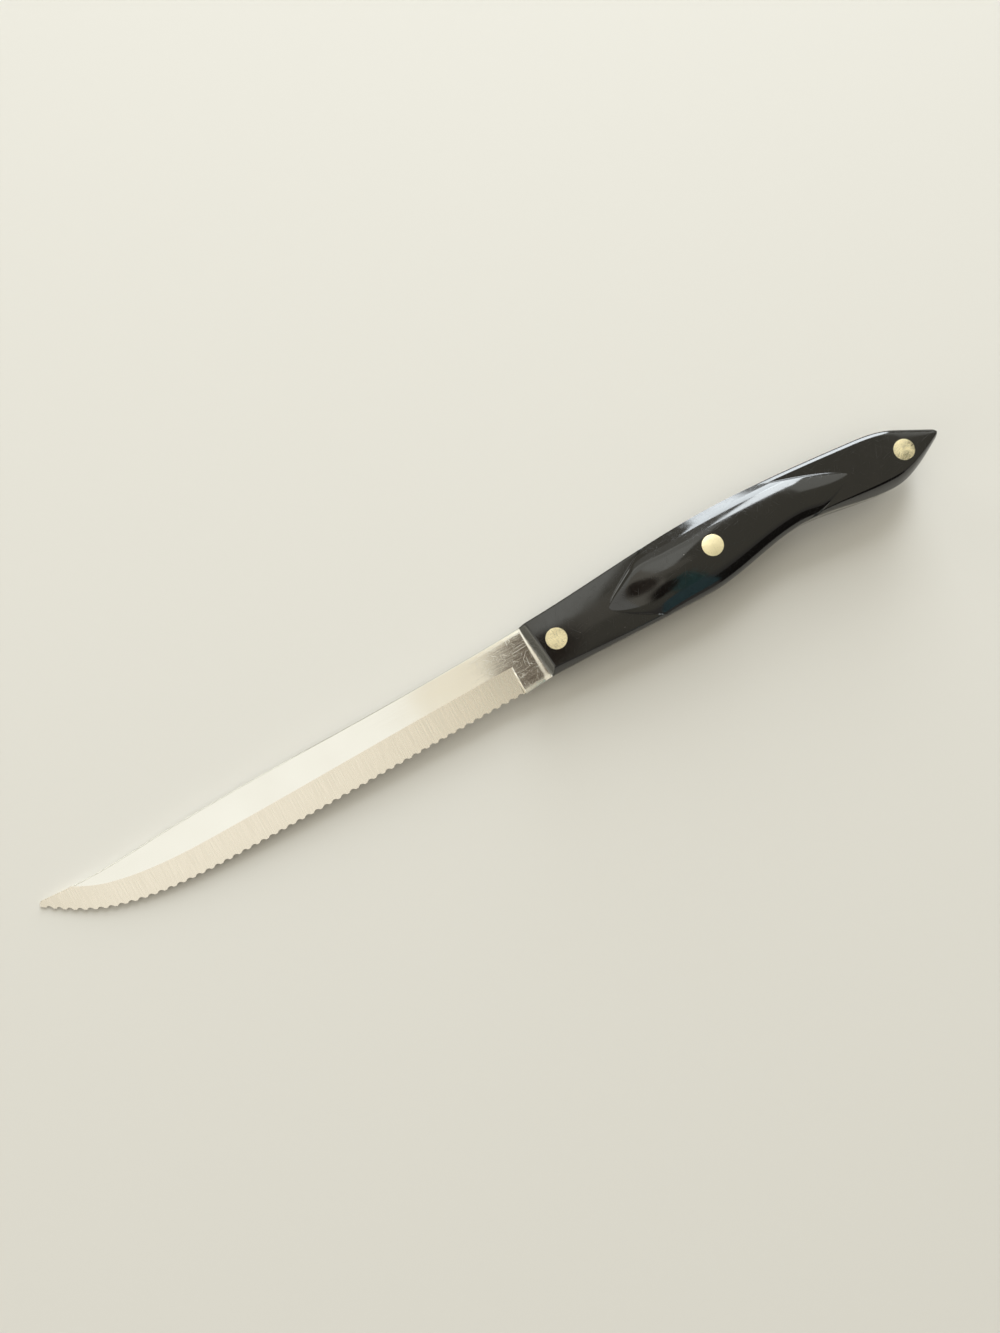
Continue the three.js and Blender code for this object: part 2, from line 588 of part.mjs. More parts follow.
let leftSolid = leftBlank;
const pieces = [];
for (const place of rivetPlaces) {
  const seat = seatHeight(place);
  const boreRadius = sleeveRadius + RIVET_CLEARANCE;
  const counterRadius = headRadius + RIVET_CLEARANCE;
  leftSolid = leftSolid.subtract(turned([
    [0, 0], [boreRadius, 0], [boreRadius, seat], [counterRadius, seat], [counterRadius, overall],
    [0, overall],
  ], place));
  const floor = seat + BEDDING;
  const sleeveEnd = seat - BEDDING;
  const postEnd = -seat + BEDDING;
  const post = turned([
    [0, postEnd], [postRadius, postEnd], [postRadius, floor], [headRadius, floor],
    [headRadius, overall], [0, overall],
  ], place).intersect(leftBlank.add(turned([
    [0, -overall], [headRadius, -overall], [headRadius, floor + BEDDING], [0, floor + BEDDING],
  ], place)));
  const socketRadius = postRadius + RIVET_CLEARANCE;
  const sleeve = turned([
    [0, -overall], [headRadius, -overall], [headRadius, -floor], [sleeveRadius, -floor],
    [sleeveRadius, sleeveEnd], [socketRadius, sleeveEnd], [socketRadius, -seat], [0, -seat],
  ], place).intersect(mirrored(leftBlank).add(turned([
    [0, -floor - BEDDING], [headRadius, -floor - BEDDING], [headRadius, overall], [0, overall],
  ], place)));
  const metal = { material: nickelSilver, density: RIVET_DENSITY };
  pieces.push({ name: `rivet_${place.name}_post`, solid: post, ...metal });
  pieces.push({ name: `rivet_${place.name}_sleeve`, solid: sleeve, ...metal });
}
pieces.unshift(
  { name: 'blade_and_tang', solid: bladeSolid, material: steel, density: STEEL_DENSITY },
  { name: 'handle_scale_left', solid: leftSolid, material: resin, density: RESIN_DENSITY },
  { name: 'handle_scale_right', solid: mirrored(leftSolid), material: resin, density: RESIN_DENSITY },
);

const knife = new THREE.Group();
knife.name = 'knife';
for (const { name, solid, material } of pieces) {
  const mesh = new THREE.Mesh(geometryOf(solid), material.clone());
  mesh.name = name;
  knife.add(mesh);
}

// Centre of mass of the finished knife, from the signed volumes of all its triangles.
function centreOfMass() {
  const total = new THREE.Vector3();
  let mass = 0;
  knife.children.forEach((mesh, i) => {
    const position = mesh.geometry.attributes.position;
    const index = mesh.geometry.index;
    for (let t = 0; t < index.count; t += 3) {
      const [a, b, c] = [0, 1, 2].map((k) => (
        new THREE.Vector3().fromBufferAttribute(position, index.getX(t + k))));
      const weight = a.dot(b.clone().cross(c)) / 6 * pieces[i].density;
      mass += weight;
      total.addScaledVector(a.add(b).add(c), weight / 4);
    }
  });
  return total.divideScalar(mass);
}

// The knife rests on the face of its convex hull that lies under its centre of mass, right side down.
function layOnRightSide() {
  const points = [];
  for (const { geometry } of knife.children) {
    const position = geometry.attributes.position;
    for (let i = 0; i < position.count; i += 1) {
      points.push(new THREE.Vector3().fromBufferAttribute(position, i));
    }
  }
  const centre = centreOfMass();
  const down = new THREE.Vector3(0, 0, -1);
  let best = down;
  let bestTurn = Math.PI;
  for (const face of new ConvexHull().setFromPoints(points).faces) {
    const corners = [face.getEdge(0), face.getEdge(1), face.getEdge(2)].map((edge) => edge.head().point);
    const ray = new THREE.Ray(centre, face.normal);
    const hit = ray.intersectTriangle(...corners, false, new THREE.Vector3());
    const turn = face.normal.angleTo(down);
    if (hit && turn < bestTurn) {
      best = face.normal;
      bestTurn = turn;
    }
  }
  knife.quaternion.setFromUnitVectors(best, down);
}
layOnRightSide();
knife.updateMatrixWorld(true);
const box = new THREE.Box3().setFromObject(knife, true);
const middle = box.getCenter(new THREE.Vector3());
knife.position.set(-middle.x, -middle.y, -box.min.z);

const carvingKnife = new THREE.Group();
carvingKnife.name = 'carving_knife';
carvingKnife.add(knife);
carvingKnife.updateMatrixWorld(true);

export default carvingKnife;
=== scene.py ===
import json
import math

import bpy
import numpy as np
from mathutils import Matrix, Vector


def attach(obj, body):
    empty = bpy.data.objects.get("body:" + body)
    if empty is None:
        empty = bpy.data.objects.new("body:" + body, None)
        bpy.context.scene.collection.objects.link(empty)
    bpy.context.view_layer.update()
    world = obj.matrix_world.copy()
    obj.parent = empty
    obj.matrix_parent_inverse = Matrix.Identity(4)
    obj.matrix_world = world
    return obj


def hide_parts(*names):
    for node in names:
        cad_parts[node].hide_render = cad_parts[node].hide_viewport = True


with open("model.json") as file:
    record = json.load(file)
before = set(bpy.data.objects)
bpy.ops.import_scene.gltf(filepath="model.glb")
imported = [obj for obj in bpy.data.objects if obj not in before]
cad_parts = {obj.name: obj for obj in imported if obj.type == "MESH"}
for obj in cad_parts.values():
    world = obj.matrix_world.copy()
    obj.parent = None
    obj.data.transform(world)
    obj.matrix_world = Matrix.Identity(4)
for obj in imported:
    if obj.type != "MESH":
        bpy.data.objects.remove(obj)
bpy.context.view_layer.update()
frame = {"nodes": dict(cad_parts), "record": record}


# Blade and tang: one piece of stainless sheet from tip to tail. It is ground flat toward the edge
# on both sides, scalloped by a slanted wheel from the right side, and polished along its length.
# The tang keeps the handle's outline, so its edge shows as a bright line between the scales.

# Sizes are millimetres in the knife's own frame: X from tip to tail with 0 at the handle's nose,
# Y from edge to back with 0 on the end rivets, Z out of the left side.
BLADE_LENGTH = 172.3
STEEL_THICKNESS = 2.0
RICASSO_LENGTH = 9
RICASSO_BOTTOM = -10.45
BACK_AT_NOSE = 8.9
GRIP_AT_NOSE = -9.6
NOSE_RAKE = math.tan(math.radians(6.3))
HANDLE_LENGTH = 145.0
FRONT_RIVET_FROM_NOSE = 7.4
BEDDING = 0.05

tip_x = -BLADE_LENGTH
heel_x = -RICASSO_LENGTH

# The row's rest pose, read from the frame: the left flat gives the turn, the front rivet's axis and
# the middle of the steel give the place.
left_flat = next(m for m in frame["record"]["mounts"] if m["name"] == "blade_flat_left")
turn = np.array(Vector((0, 0, 1)).rotation_difference(Vector(left_flat["axis"])).to_matrix())


def turned_box(node):
    """Lowest and highest corner of a node along the knife's own axes, in mm."""
    corners = np.array([vertex.co for vertex in frame["nodes"][node].data.vertices]) * 1000 @ turn
    return corners.min(axis=0), corners.max(axis=0)


rivet_middle = sum(turned_box("rivet_front_post")) / 2
steel_middle = sum(turned_box("blade_and_tang")) / 2
own_origin = np.array([rivet_middle[0] - FRONT_RIVET_FROM_NOSE, rivet_middle[1], steel_middle[2]])


def to_row(points):
    """Points of the knife's own frame, in mm, as points of the row, in metres."""
    return (np.asarray(points) + own_origin) @ turn.T / 1000


def line_through(knots, x):
    """Height over x of a line through knots of place, height and slope: a cubic from each knot to
    the next, with their slopes at its ends."""
    place, height, slope = np.array(knots, float).T
    i = np.clip(np.searchsorted(place, x) - 1, 0, len(place) - 2)
    run = place[i + 1] - place[i]
    t = np.clip((x - place[i]) / run, 0, 1)
    start = (1 + 2 * t) * (1 - t) ** 2 * height[i] + t * (1 - t) ** 2 * run * slope[i]
    end = t ** 2 * (3 - 2 * t) * height[i + 1] + t ** 2 * (t - 1) * run * slope[i + 1]
    return start + end


TAIL_RADIUS = 1.7
TAIL_HEIGHT = 0
tail_x = HANDLE_LENGTH - TAIL_RADIUS
TAIL_BACK_ANGLE = math.radians(27)
TAIL_GRIP_ANGLE = math.radians(32)
shoulder_x = HANDLE_LENGTH - 11.4
hook_x = HANDLE_LENGTH - 18.6
waist_x = HANDLE_LENGTH - 49.6
nose_back_x = -BACK_AT_NOSE * NOSE_RAKE
nose_grip_x = -GRIP_AT_NOSE * NOSE_RAKE
back_turn_x = tail_x + TAIL_RADIUS * math.sin(TAIL_BACK_ANGLE)
back_turn_y = TAIL_HEIGHT + TAIL_RADIUS * math.cos(TAIL_BACK_ANGLE)
grip_turn_x = tail_x + TAIL_RADIUS * math.sin(TAIL_GRIP_ANGLE)
grip_turn_y = TAIL_HEIGHT - TAIL_RADIUS * math.cos(TAIL_GRIP_ANGLE)

# Each knot is its place along X, its height in Y and the slope of the line there.
BACK_KNOTS = [
    (nose_back_x, BACK_AT_NOSE, 0.037),
    (68.5, 13.2, 0),
    (HANDLE_LENGTH - 29, 10.6, -0.09),
    (shoulder_x, 6.9, -math.tan(TAIL_BACK_ANGLE)),
    (back_turn_x, back_turn_y, -math.tan(TAIL_BACK_ANGLE)),
]
GRIP_KNOTS = [
    (nose_grip_x, GRIP_AT_NOSE, 0),
    (57, -10.5, 0),
    (waist_x, -5.05, 0),
    (hook_x, -8.9, 0),
    (grip_turn_x, grip_turn_y, math.tan(TAIL_GRIP_ANGLE)),
]
SPINE_KNOTS = [
    (tip_x + 1.5, 5.2, -0.07),
    (tip_x + 18, 4.5, 0),
    (tip_x + 46, 6.0, 0.05),
    (-68, 7.2, 0.005),
    (nose_back_x, BACK_AT_NOSE, 0.05),
]
EDGE_KNOTS = [
    (tip_x, 3.7, -0.75),
    (tip_x + 22, -7.7, -0.26),
    (tip_x + 66, -11.45, 0),
    (heel_x, -10.1, 0.005),
]


def tail_arc(x):
    """Half height of the round of the tail over x."""
    return np.sqrt(np.clip(TAIL_RADIUS ** 2 - (x - tail_x) ** 2, 0, None))


def back_line(x):
    """Back of the handle: the line through its knots, then the round of the tail."""
    return np.where(x < back_turn_x, line_through(BACK_KNOTS, x), TAIL_HEIGHT + tail_arc(x))


def grip_line(x):
    """Grip side of the handle: the line through its knots, then the round of the tail."""
    return np.where(x < grip_turn_x, line_through(GRIP_KNOTS, x), TAIL_HEIGHT - tail_arc(x))


def spine_line(x):
    """Spine of the blade: the line through its knots, ending in a quarter round down to the tip."""
    start_x, start_y, _ = SPINE_KNOTS[0]
    point_y = EDGE_KNOTS[0][1]
    left = 1 - np.sqrt(np.clip((x - tip_x) / (start_x - tip_x), 0, 1))
    rounded = start_y - (start_y - point_y) * left ** 2
    return np.where(x < start_x, rounded, line_through(SPINE_KNOTS, x))


EDGE_THICKNESS = 0.36
GRIND_WIDTH_HEEL = 9.2
GRIND_WIDTH_TIP = 6.8
GRIND_TAPER = 3
GRIND_LEAST_SHARE = 0.2
PLUNGE_RUN = 0.4
PLUNGE_CREASE = 0.02
BEVEL_BLEND = 0.08

# Polishing rounds the corners of the steel and rolls off the faces beside them. A roll is its
# width, its depth and the power of its curve. Narrow or thin steel takes only a share of it.
SPINE_ROUND = 0.25
RICASSO_ROUND = 0.1
ROUND_SHARE = 0.6
SPINE_ROLL = (1.6, 0.09, 2)
RICASSO_ROLL = (1.7, 0.16, 1.3)
ROLL_WIDTH_SHARE = 0.15
ROLL_DEPTH_SHARE = 0.2
ROLL_ROOM = 1.2

# Polishing also leaves the ricasso slightly hollow. The hollow starts at the nose over a run that
# flares toward the bottom, and it fades out from a distance over a length.
RICASSO_HOLLOW = 0.07
RICASSO_HOLLOW_RUN = 1.5
RICASSO_HOLLOW_FLARE = 0.12
RICASSO_HOLLOW_FADE = (8, 14)

SCALLOP_PITCH = 3.175
SCALLOP_RADIUS = 2.6
SCALLOP_DEPTH = 0.6
SCALLOP_SLANT = math.radians(65)
SCALLOP_START = 1.6
SCALLOP_END_FROM_TIP = 2.5
SCALLOP_EDGE = 0.03
EDGE_SAMPLES = 6001

edge_samples = np.linspace(heel_x, tip_x, EDGE_SAMPLES)
edge_steps = np.hypot(np.diff(edge_samples), np.diff(line_through(EDGE_KNOTS, edge_samples)))
edge_runs = np.concatenate([[0], np.cumsum(edge_steps)])
scallops = np.arange(SCALLOP_START, edge_runs[-1] - SCALLOP_END_FROM_TIP, SCALLOP_PITCH)
wheel_offset = SCALLOP_RADIUS / math.cos(SCALLOP_SLANT) - SCALLOP_DEPTH


def wheel_reach(x):
    """Half width of the scallop wheel's cut, at right angles to its axis, over x."""
    along = np.interp(-x, -edge_samples, edge_runs)
    nearest = np.clip(np.rint((along - SCALLOP_START) / SCALLOP_PITCH), 0, len(scallops) - 1)
    off = along - SCALLOP_START - nearest * SCALLOP_PITCH
    return np.sqrt(np.clip(SCALLOP_RADIUS ** 2 - off ** 2, 0, None)) * (x < heel_x)


def edge_slant(x):
    """Length of the edge over one mm of X."""
    step = 0.05
    rise = line_through(EDGE_KNOTS, x + step) - line_through(EDGE_KNOTS, x - step)
    return np.hypot(1, rise / (2 * step))


def smooth(t):
    """Rises from 0 to 1 with level ends."""
    t = np.clip(t, 0, 1)
    return t * t * (3 - 2 * t)


# Counts of sections in each stretch of the knife. The first and the last keep off the very tip and
# tail, where a section would be a point.
NOTCH_COLUMNS = 13
TOOTH_COLUMNS = 4
TIP_COLUMNS = 24
TIP_FIRST_COLUMN = 0.04
PLUNGE_COLUMNS = 9
RICASSO_COLUMNS = 20
NOSE_COLUMNS = 40
TANG_COLUMNS = 150
TAIL_COLUMNS = 40
TAIL_GAP = 0.02


def blade_columns():
    """Places along the knife where it gets a section: close together on the scallops, the tip, the
    plunge and the tail, and wider apart elsewhere."""
    flat_share = 1 - SCALLOP_DEPTH * math.cos(SCALLOP_SLANT) / SCALLOP_RADIUS
    notch = SCALLOP_RADIUS * math.sqrt(1 - flat_share ** 2)
    in_notch = notch * np.sin(np.linspace(-np.pi / 2, np.pi / 2, NOTCH_COLUMNS))
    on_tooth = np.linspace(notch, SCALLOP_PITCH - notch, TOOTH_COLUMNS + 2)[1:-1]
    marks = (scallops[:, None] + np.concatenate([in_notch, on_tooth])).ravel()
    scalloped = np.interp(marks[marks < edge_runs[-1]], edge_runs, edge_samples)
    hollow_x = -nose_grip_x - 2 * RICASSO_HOLLOW_RUN
    tail = tail_x + TAIL_RADIUS * np.sin(np.linspace(-np.pi / 2, np.pi / 2, TAIL_COLUMNS))
    return np.unique(np.concatenate([
        scalloped,
        tip_x + (SPINE_KNOTS[0][0] - tip_x) * np.linspace(TIP_FIRST_COLUMN, 1, TIP_COLUMNS) ** 2,
        heel_x + np.concatenate([[-PLUNGE_CREASE], PLUNGE_RUN * np.linspace(0, 1, PLUNGE_COLUMNS)]),
        np.linspace(heel_x + PLUNGE_RUN + PLUNGE_CREASE, hollow_x, RICASSO_COLUMNS),
        np.linspace(hollow_x, nose_grip_x, NOSE_COLUMNS),
        np.linspace(nose_grip_x, tail[0], TANG_COLUMNS),
        tail[:-1],
        [HANDLE_LENGTH - TAIL_GAP],
    ]).round(4))


# Rows of corners round a section, as shares of the way up the bevel, of the flat above it and of
# the roll below the spine. The right face has more rows low on the bevel, where the wheel cuts.
LEFT_BEVEL_ROWS = [0, 0.012, 0.04, 0.1, 0.2, 0.35, 0.5, 0.65, 0.8, 0.9, 0.96, 0.99, 1]
RIGHT_BEVEL_ROWS = [*np.linspace(0, 0.22, 18), 0.3, 0.45, 0.6, 0.75, 0.9, 0.96, 0.99, 1]
FLAT_ROWS = [0.01, 0.04, 0.12, 0.3, 0.5, 0.7, 0.9]
ROLL_ROWS = [1, 0.75, 0.5, 0.32, 0.2, 0.12, 0.06, 0.02, 0]


def blade_rings():
    """Closed sections of the steel. Height runs from the bottom line to the grind line, on to the
    spine, and back on the other face; the half thickness grows evenly from the edge to the grind
    line, and on the right face the scallop wheel's slanted round cuts into it."""
    x = blade_columns()
    ground = 1 - smooth((x - heel_x) / PLUNGE_RUN)
    in_blade = x < heel_x
    edge = line_through(EDGE_KNOTS, np.minimum(x, heel_x))
    taper = np.clip((x - heel_x) / (tip_x - heel_x), 0, 1) ** GRIND_TAPER
    slant = np.where(in_blade, edge_slant(np.minimum(x, heel_x)), 1)
    rise = (GRIND_WIDTH_HEEL + (GRIND_WIDTH_TIP - GRIND_WIDTH_HEEL) * taper) * slant
    ricasso = np.interp(x, [heel_x + PLUNGE_RUN, nose_grip_x], [RICASSO_BOTTOM, GRIP_AT_NOSE])
    below = np.where(x < nose_grip_x, ricasso, grip_line(x))
    bottom = np.where(in_blade, edge, below * (1 - ground) + edge * ground)
    top = np.where(x < nose_back_x, spine_line(x), back_line(x))
    tall = top - bottom
    reach = wheel_reach(x)
    notch = np.clip(reach / math.cos(SCALLOP_SLANT) - wheel_offset, 0, None) * slant
    roll = np.minimum(SPINE_ROLL[0], ROLL_WIDTH_SHARE * tall)
    bend = np.clip(edge + rise, bottom + GRIND_LEAST_SHARE * tall, top - ROLL_ROOM * roll)

    def face(bevel_rows, side):
        """One face of the steel from its bottom line to the middle of the spine: the even taper of
        the grind, less a round and a power curve at the spine and the ricasso's bottom, less the
        hollow."""
        up_bevel, up_flat, down_roll = (
            np.array(rows)[:, None] for rows in (bevel_rows, FLAT_ROWS, ROLL_ROWS)
        )
        low = bottom + notch
        y = np.concatenate([
            low + up_bevel * (bend - low),
            bend + up_flat * (top - roll - bend),
            top - roll * down_roll,
        ])
        covered = x > -y * NOSE_RAKE
        full = STEEL_THICKNESS / 2 - BEDDING * covered
        share = np.clip((y - edge) / rise, 0, 1)
        thin = EDGE_THICKNESS / 2 * (1 - share) + STEEL_THICKNESS / 2 * share
        half = full * (1 - ground) + thin * ground
        bare = ~covered
        spine_side = (top - y, bare, SPINE_ROUND, SPINE_ROLL)
        grip_side = (y - bottom, bare & ~in_blade, RICASSO_ROUND, RICASSO_ROLL)
        for distance, where, edge_round, (width, depth, power) in (spine_side, grip_side):
            radius = np.minimum(edge_round, ROUND_SHARE * half) * where
            short = np.clip(radius - distance, 0, radius)
            half = half - radius + np.sqrt(radius ** 2 - short ** 2)
            width = np.maximum(np.minimum(width, ROLL_WIDTH_SHARE * tall), 1e-6)
            rolled = np.clip(1 - distance / width, 0, 1) ** power
            half = half - np.minimum(depth, ROLL_DEPTH_SHARE * half) * rolled * where
        from_nose = -x - y * NOSE_RAKE
        hollow_end, hollow_fade = RICASSO_HOLLOW_FADE
        hollow_run = RICASSO_HOLLOW_RUN - RICASSO_HOLLOW_FLARE * y
        faded = smooth((from_nose - hollow_end) / hollow_fade)
        hollow = smooth(from_nose / hollow_run) * (1 - faded)
        half = half - RICASSO_HOLLOW * hollow * (1 - ground * (1 - share)) * bare
        z = side * half
        if side < 0:
            inward = -(y - edge) / slant
            cut = EDGE_THICKNESS / 2 + (
                (inward - wheel_offset) * math.cos(SCALLOP_SLANT) + reach
            ) / math.sin(SCALLOP_SLANT)
            z = np.where(in_blade, np.maximum(z, np.minimum(cut, half - SCALLOP_EDGE)), z)
        bevel = ground * smooth((edge + rise - y) / BEVEL_BLEND + 0.5)
        return np.stack([np.broadcast_to(x, y.shape), y, z], axis=-1), bevel

    left, left_bevel = face(LEFT_BEVEL_ROWS, 1)
    right, right_bevel = face(RIGHT_BEVEL_ROWS, -1)
    rings = np.concatenate([left, right[::-1]]).transpose(1, 0, 2)
    return rings, np.concatenate([left_bevel, right_bevel[::-1]]).T


def skin(name, rings, **marks):
    """Closed body through a row of rings with equal counts: quads between neighbours, one face over
    each end, all turned outward by the sign of the enclosed volume. Marks are values at the
    corners."""
    count, around = rings.shape[:2]
    first = np.arange(count - 1)[:, None] * around + np.arange(around)
    beside = np.roll(first, -1, axis=1)
    quads = np.stack([first, first + around, beside + around, beside], axis=-1).reshape(-1, 4)
    ends = np.array([np.arange(around)[::-1], np.arange(around) + (count - 1) * around])
    points = to_row(rings.reshape(-1, 3))
    a, b, c, d = (points[quads[:, k]] for k in range(4))
    volume = np.sum(a * np.cross(b, c)) + np.sum(a * np.cross(c, d))
    if volume < 0:
        quads, ends = quads[:, ::-1], ends[:, ::-1]
    mesh = bpy.data.meshes.new(name)
    mesh.from_pydata(points.tolist(), [], quads.tolist() + ends.tolist())
    for mark, values in marks.items():
        attribute = mesh.attributes.new(mark, "FLOAT", "POINT")
        attribute.data.foreach_set("value", values.astype(np.float32).ravel())
    piece = bpy.data.objects.new(name, mesh)
    bpy.context.scene.collection.objects.link(piece)
    return piece


def dress(piece, material, crease):
    """Gives a finished mesh its material, smooth shading up to a crease angle in degrees, and each
    corner's place in the knife's own frame in mm, which the materials read."""
    mesh = piece.data
    mesh.shade_smooth()
    mesh.set_sharp_from_angle(angle=math.radians(crease))
    corners = np.empty(len(mesh.vertices) * 3, np.float32)
    mesh.vertices.foreach_get("co", corners)
    place = corners.reshape(-1, 3).astype(float) * 1000 @ turn - own_origin
    attribute = mesh.attributes.new("place", "FLOAT_VECTOR", "POINT")
    attribute.data.foreach_set("vector", place.astype(np.float32).ravel())
    mesh.materials.clear()
    mesh.materials.append(material)


def linear(colour):
    """An sRGB hex colour as linear red, green, blue and full alpha."""
    parts = np.array([int(colour[i:i + 2], 16) for i in (1, 3, 5)]) / 255
    low, high = parts / 12.92, ((parts + 0.055) / 1.055) ** 2.4
    return (*np.where(parts <= 0.04045, low, high), 1.0)


def add_node(tree, kind, inputs, **options):
    """Adds a node with its options set and its sockets given a value or linked to an output. The
    sockets of a Mix node share names, so they go by number: 0 is the share, 2 and 3 are the numbers
    that it mixes, 6 and 7 the colours."""
    made = tree.nodes.new(kind)
    for option, value in options.items():
        setattr(made, option, value)
    for socket, value in inputs.items():
        if isinstance(value, bpy.types.NodeSocket):
            tree.links.new(value, made.inputs[socket])
        else:
            made.inputs[socket].default_value = value
    return made


# Stainless steel, mirror polished along the blade and then used: the flats carry fine lengthwise
# polish lines, the bevels a satin cross grind, and the ricasso a web of hairlines. All of these are
# finer than the picture shows, so they are drawn 0.1 to 0.4 mm wide. The bevels' steel colour is
# darker and warmer than the flats': a painted reflection of the dimmer, warm light they mirror.

# A line is its size along the knife, across it and into it in mm. A hairline is its angle to the
# blade in degrees, its length and its width. Noise stays within a middle span, which is spread over
# each range of roughness.
STEEL_COLOUR = linear("#E6E5E0")
STEEL_DULL_COLOUR = linear("#DBD8D1")
# Painted reflection: the bevels' darker, warmer steel colour stands in for the dimmer, warm light
# they mirror.
BEVEL_REFLECTION_COLOUR = linear("#E0D8CB")
POLISH_LINE = (16, 0.3, 4)
GRIND_LINE = (0.35, 9, 4)
STEEL_HAIRLINES = [(4, 7, 0.1), (-38, 5, 0.09), (46, 4, 0.09), (82, 4, 0.1)]
HAIRLINES_FADE_IN = (-32, -12)
HAIRLINE_DEPTH = 4
STEEL_CREST = (0.68, 0.8)
STEEL_CLOUD = 20
NOISE_SPAN = (0.3, 0.7)
POLISH_ROUGH = (0.06, 0.15)
GRIND_ROUGH = (0.23, 0.33)
SCRATCH_ROUGH = 0.4
LINES_STRENGTH = 0.018
SCRATCH_STRENGTH = 0.2
STEEL_BUMP_DEPTH = 0.02

polished_steel = bpy.data.materials.new("polished_stainless_steel")
polished_steel.use_nodes = True
tree = polished_steel.node_tree
place = add_node(tree, "ShaderNodeAttribute", {}, attribute_name="place").outputs["Vector"]
bevel = add_node(tree, "ShaderNodeAttribute", {}, attribute_name="bevel").outputs["Fac"]


def streaks(tree, place, angle, size, detail):
    """Noise drawn out to streaks of a length, width and depth in mm, at an angle to the blade."""
    drawn = add_node(tree, "ShaderNodeMapping", {
        "Vector": place, "Rotation": (0, 0, math.radians(angle)), "Scale": size,
    }, vector_type="TEXTURE").outputs[0]
    return add_node(tree, "ShaderNodeTexNoise", {
        "Vector": drawn, "Scale": 1.0, "Detail": detail, "Roughness": 0.6,
    }).outputs["Fac"]


def hairlines(tree, place, lines, crest_span):
    """The thin crests of several runs of streaks, from 0 beside a line to 1 on it."""
    web = None
    for angle, length, width in lines:
        run = streaks(tree, place, angle, (length, width, HAIRLINE_DEPTH), detail=1.0)
        crest = add_node(tree, "ShaderNodeMapRange", {
            "Value": run, "From Min": crest_span[0], "From Max": crest_span[1],
        }).outputs[0]
        if web is None:
            web = crest
        else:
            web = add_node(tree, "ShaderNodeMath", {
                0: web, 1: crest,
            }, operation="MAXIMUM").outputs[0]
    return web


polish = streaks(tree, place, 0, POLISH_LINE, detail=3.0)
grind = streaks(tree, place, 0, GRIND_LINE, detail=3.0)
lines = add_node(tree, "ShaderNodeMix", {0: bevel, 2: polish, 3: grind}).outputs[0]
cloud = add_node(tree, "ShaderNodeTexNoise", {
    "Vector": place, "Scale": 1 / STEEL_CLOUD, "Detail": 2.0,
}).outputs["Fac"]
flat_colour = add_node(tree, "ShaderNodeMix", {
    0: cloud, 6: STEEL_COLOUR, 7: STEEL_DULL_COLOUR,
}, data_type="RGBA").outputs[2]
# The bevels take the darker, warmer colour here, which is painted reflection.
steel_colour = add_node(tree, "ShaderNodeMix", {
    0: bevel, 6: flat_colour, 7: BEVEL_REFLECTION_COLOUR,
}, data_type="RGBA").outputs[2]
flat_rough = add_node(tree, "ShaderNodeMapRange", {
    "Value": polish, "From Min": NOISE_SPAN[0], "From Max": NOISE_SPAN[1],
    "To Min": POLISH_ROUGH[0], "To Max": POLISH_ROUGH[1],
}).outputs[0]
bevel_rough = add_node(tree, "ShaderNodeMapRange", {
    "Value": grind, "From Min": NOISE_SPAN[0], "From Max": NOISE_SPAN[1],
    "To Min": GRIND_ROUGH[0], "To Max": GRIND_ROUGH[1],
}).outputs[0]
ground_rough = add_node(tree, "ShaderNodeMix", {0: bevel, 2: flat_rough, 3: bevel_rough}).outputs[0]
along_knife = add_node(tree, "ShaderNodeSeparateXYZ", {"Vector": place}).outputs["X"]
handled = add_node(tree, "ShaderNodeMapRange", {
    "Value": along_knife, "From Min": HAIRLINES_FADE_IN[0], "From Max": HAIRLINES_FADE_IN[1],
}).outputs[0]
steel_web = hairlines(tree, place, STEEL_HAIRLINES, STEEL_CREST)
scratched = add_node(tree, "ShaderNodeMath", {
    0: steel_web, 1: handled,
}, operation="MULTIPLY").outputs[0]
steel_rough = add_node(tree, "ShaderNodeMix", {
    0: scratched, 2: ground_rough, 3: SCRATCH_ROUGH,
}).outputs[0]
lines_bump = add_node(tree, "ShaderNodeBump", {
    "Height": lines, "Strength": LINES_STRENGTH, "Distance": STEEL_BUMP_DEPTH / 1000,
}).outputs[0]
steel_bump = add_node(tree, "ShaderNodeBump", {
    "Height": scratched, "Strength": SCRATCH_STRENGTH, "Distance": STEEL_BUMP_DEPTH / 1000,
    "Normal": lines_bump,
}, invert=True).outputs[0]
shader = tree.nodes["Principled BSDF"]
shader.inputs["Metallic"].default_value = 1.0
tree.links.new(steel_colour, shader.inputs["Base Color"])
tree.links.new(steel_rough, shader.inputs["Roughness"])
tree.links.new(steel_bump, shader.inputs["Normal"])

rings, bevel_marks = blade_rings()
blade = skin("blade_and_tang_polished", rings, bevel=bevel_marks)
dress(blade, polished_steel, crease=30)
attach(blade, "root")
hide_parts("blade_and_tang")


# Handle scales: two mirrored halves moulded in black resin and buffed glossy. Each is a crowned
# flat with a bevelled nose and rounded edges. A swell rises between two arrow-shaped ends in its
# middle. They are bedded on the tang and drilled with stepped holes for the rivets.

FRONT_HEIGHT = 6.3
REAR_HEIGHT = 6.5
FLAT_CROWN = 0.35
FRONT_EDGE_ROUND = 0.7
REAR_EDGE_ROUND = 2.0
EDGE_TURN = math.radians(50)
GRIP_BEVEL_START = math.tan(math.radians(35))
GRIP_BEVEL_BEND = 0.8
GRIP_BEVEL_KNOTS = [
    (nose_back_x, 2.4, -0.05),
    (34, 1.1, 0),
    (waist_x, 0.5, 0.04),
    (hook_x, 2.9, 0),
    (HANDLE_LENGTH, 1.1, -0.1),
]
NOSE_LAND = 0.8
NOSE_BEVEL = 2.0
NOSE_ROUND = 0.5
SWELL_HEIGHT = 9.57
SWELL_FROM_NOSE = 62
SWELL_SIDE = 3.2
SWELL_ROUNDNESS = 2.1
SWELL_CREST_SHIFT = 0.05
SWELL_SHOULDER = 0.8

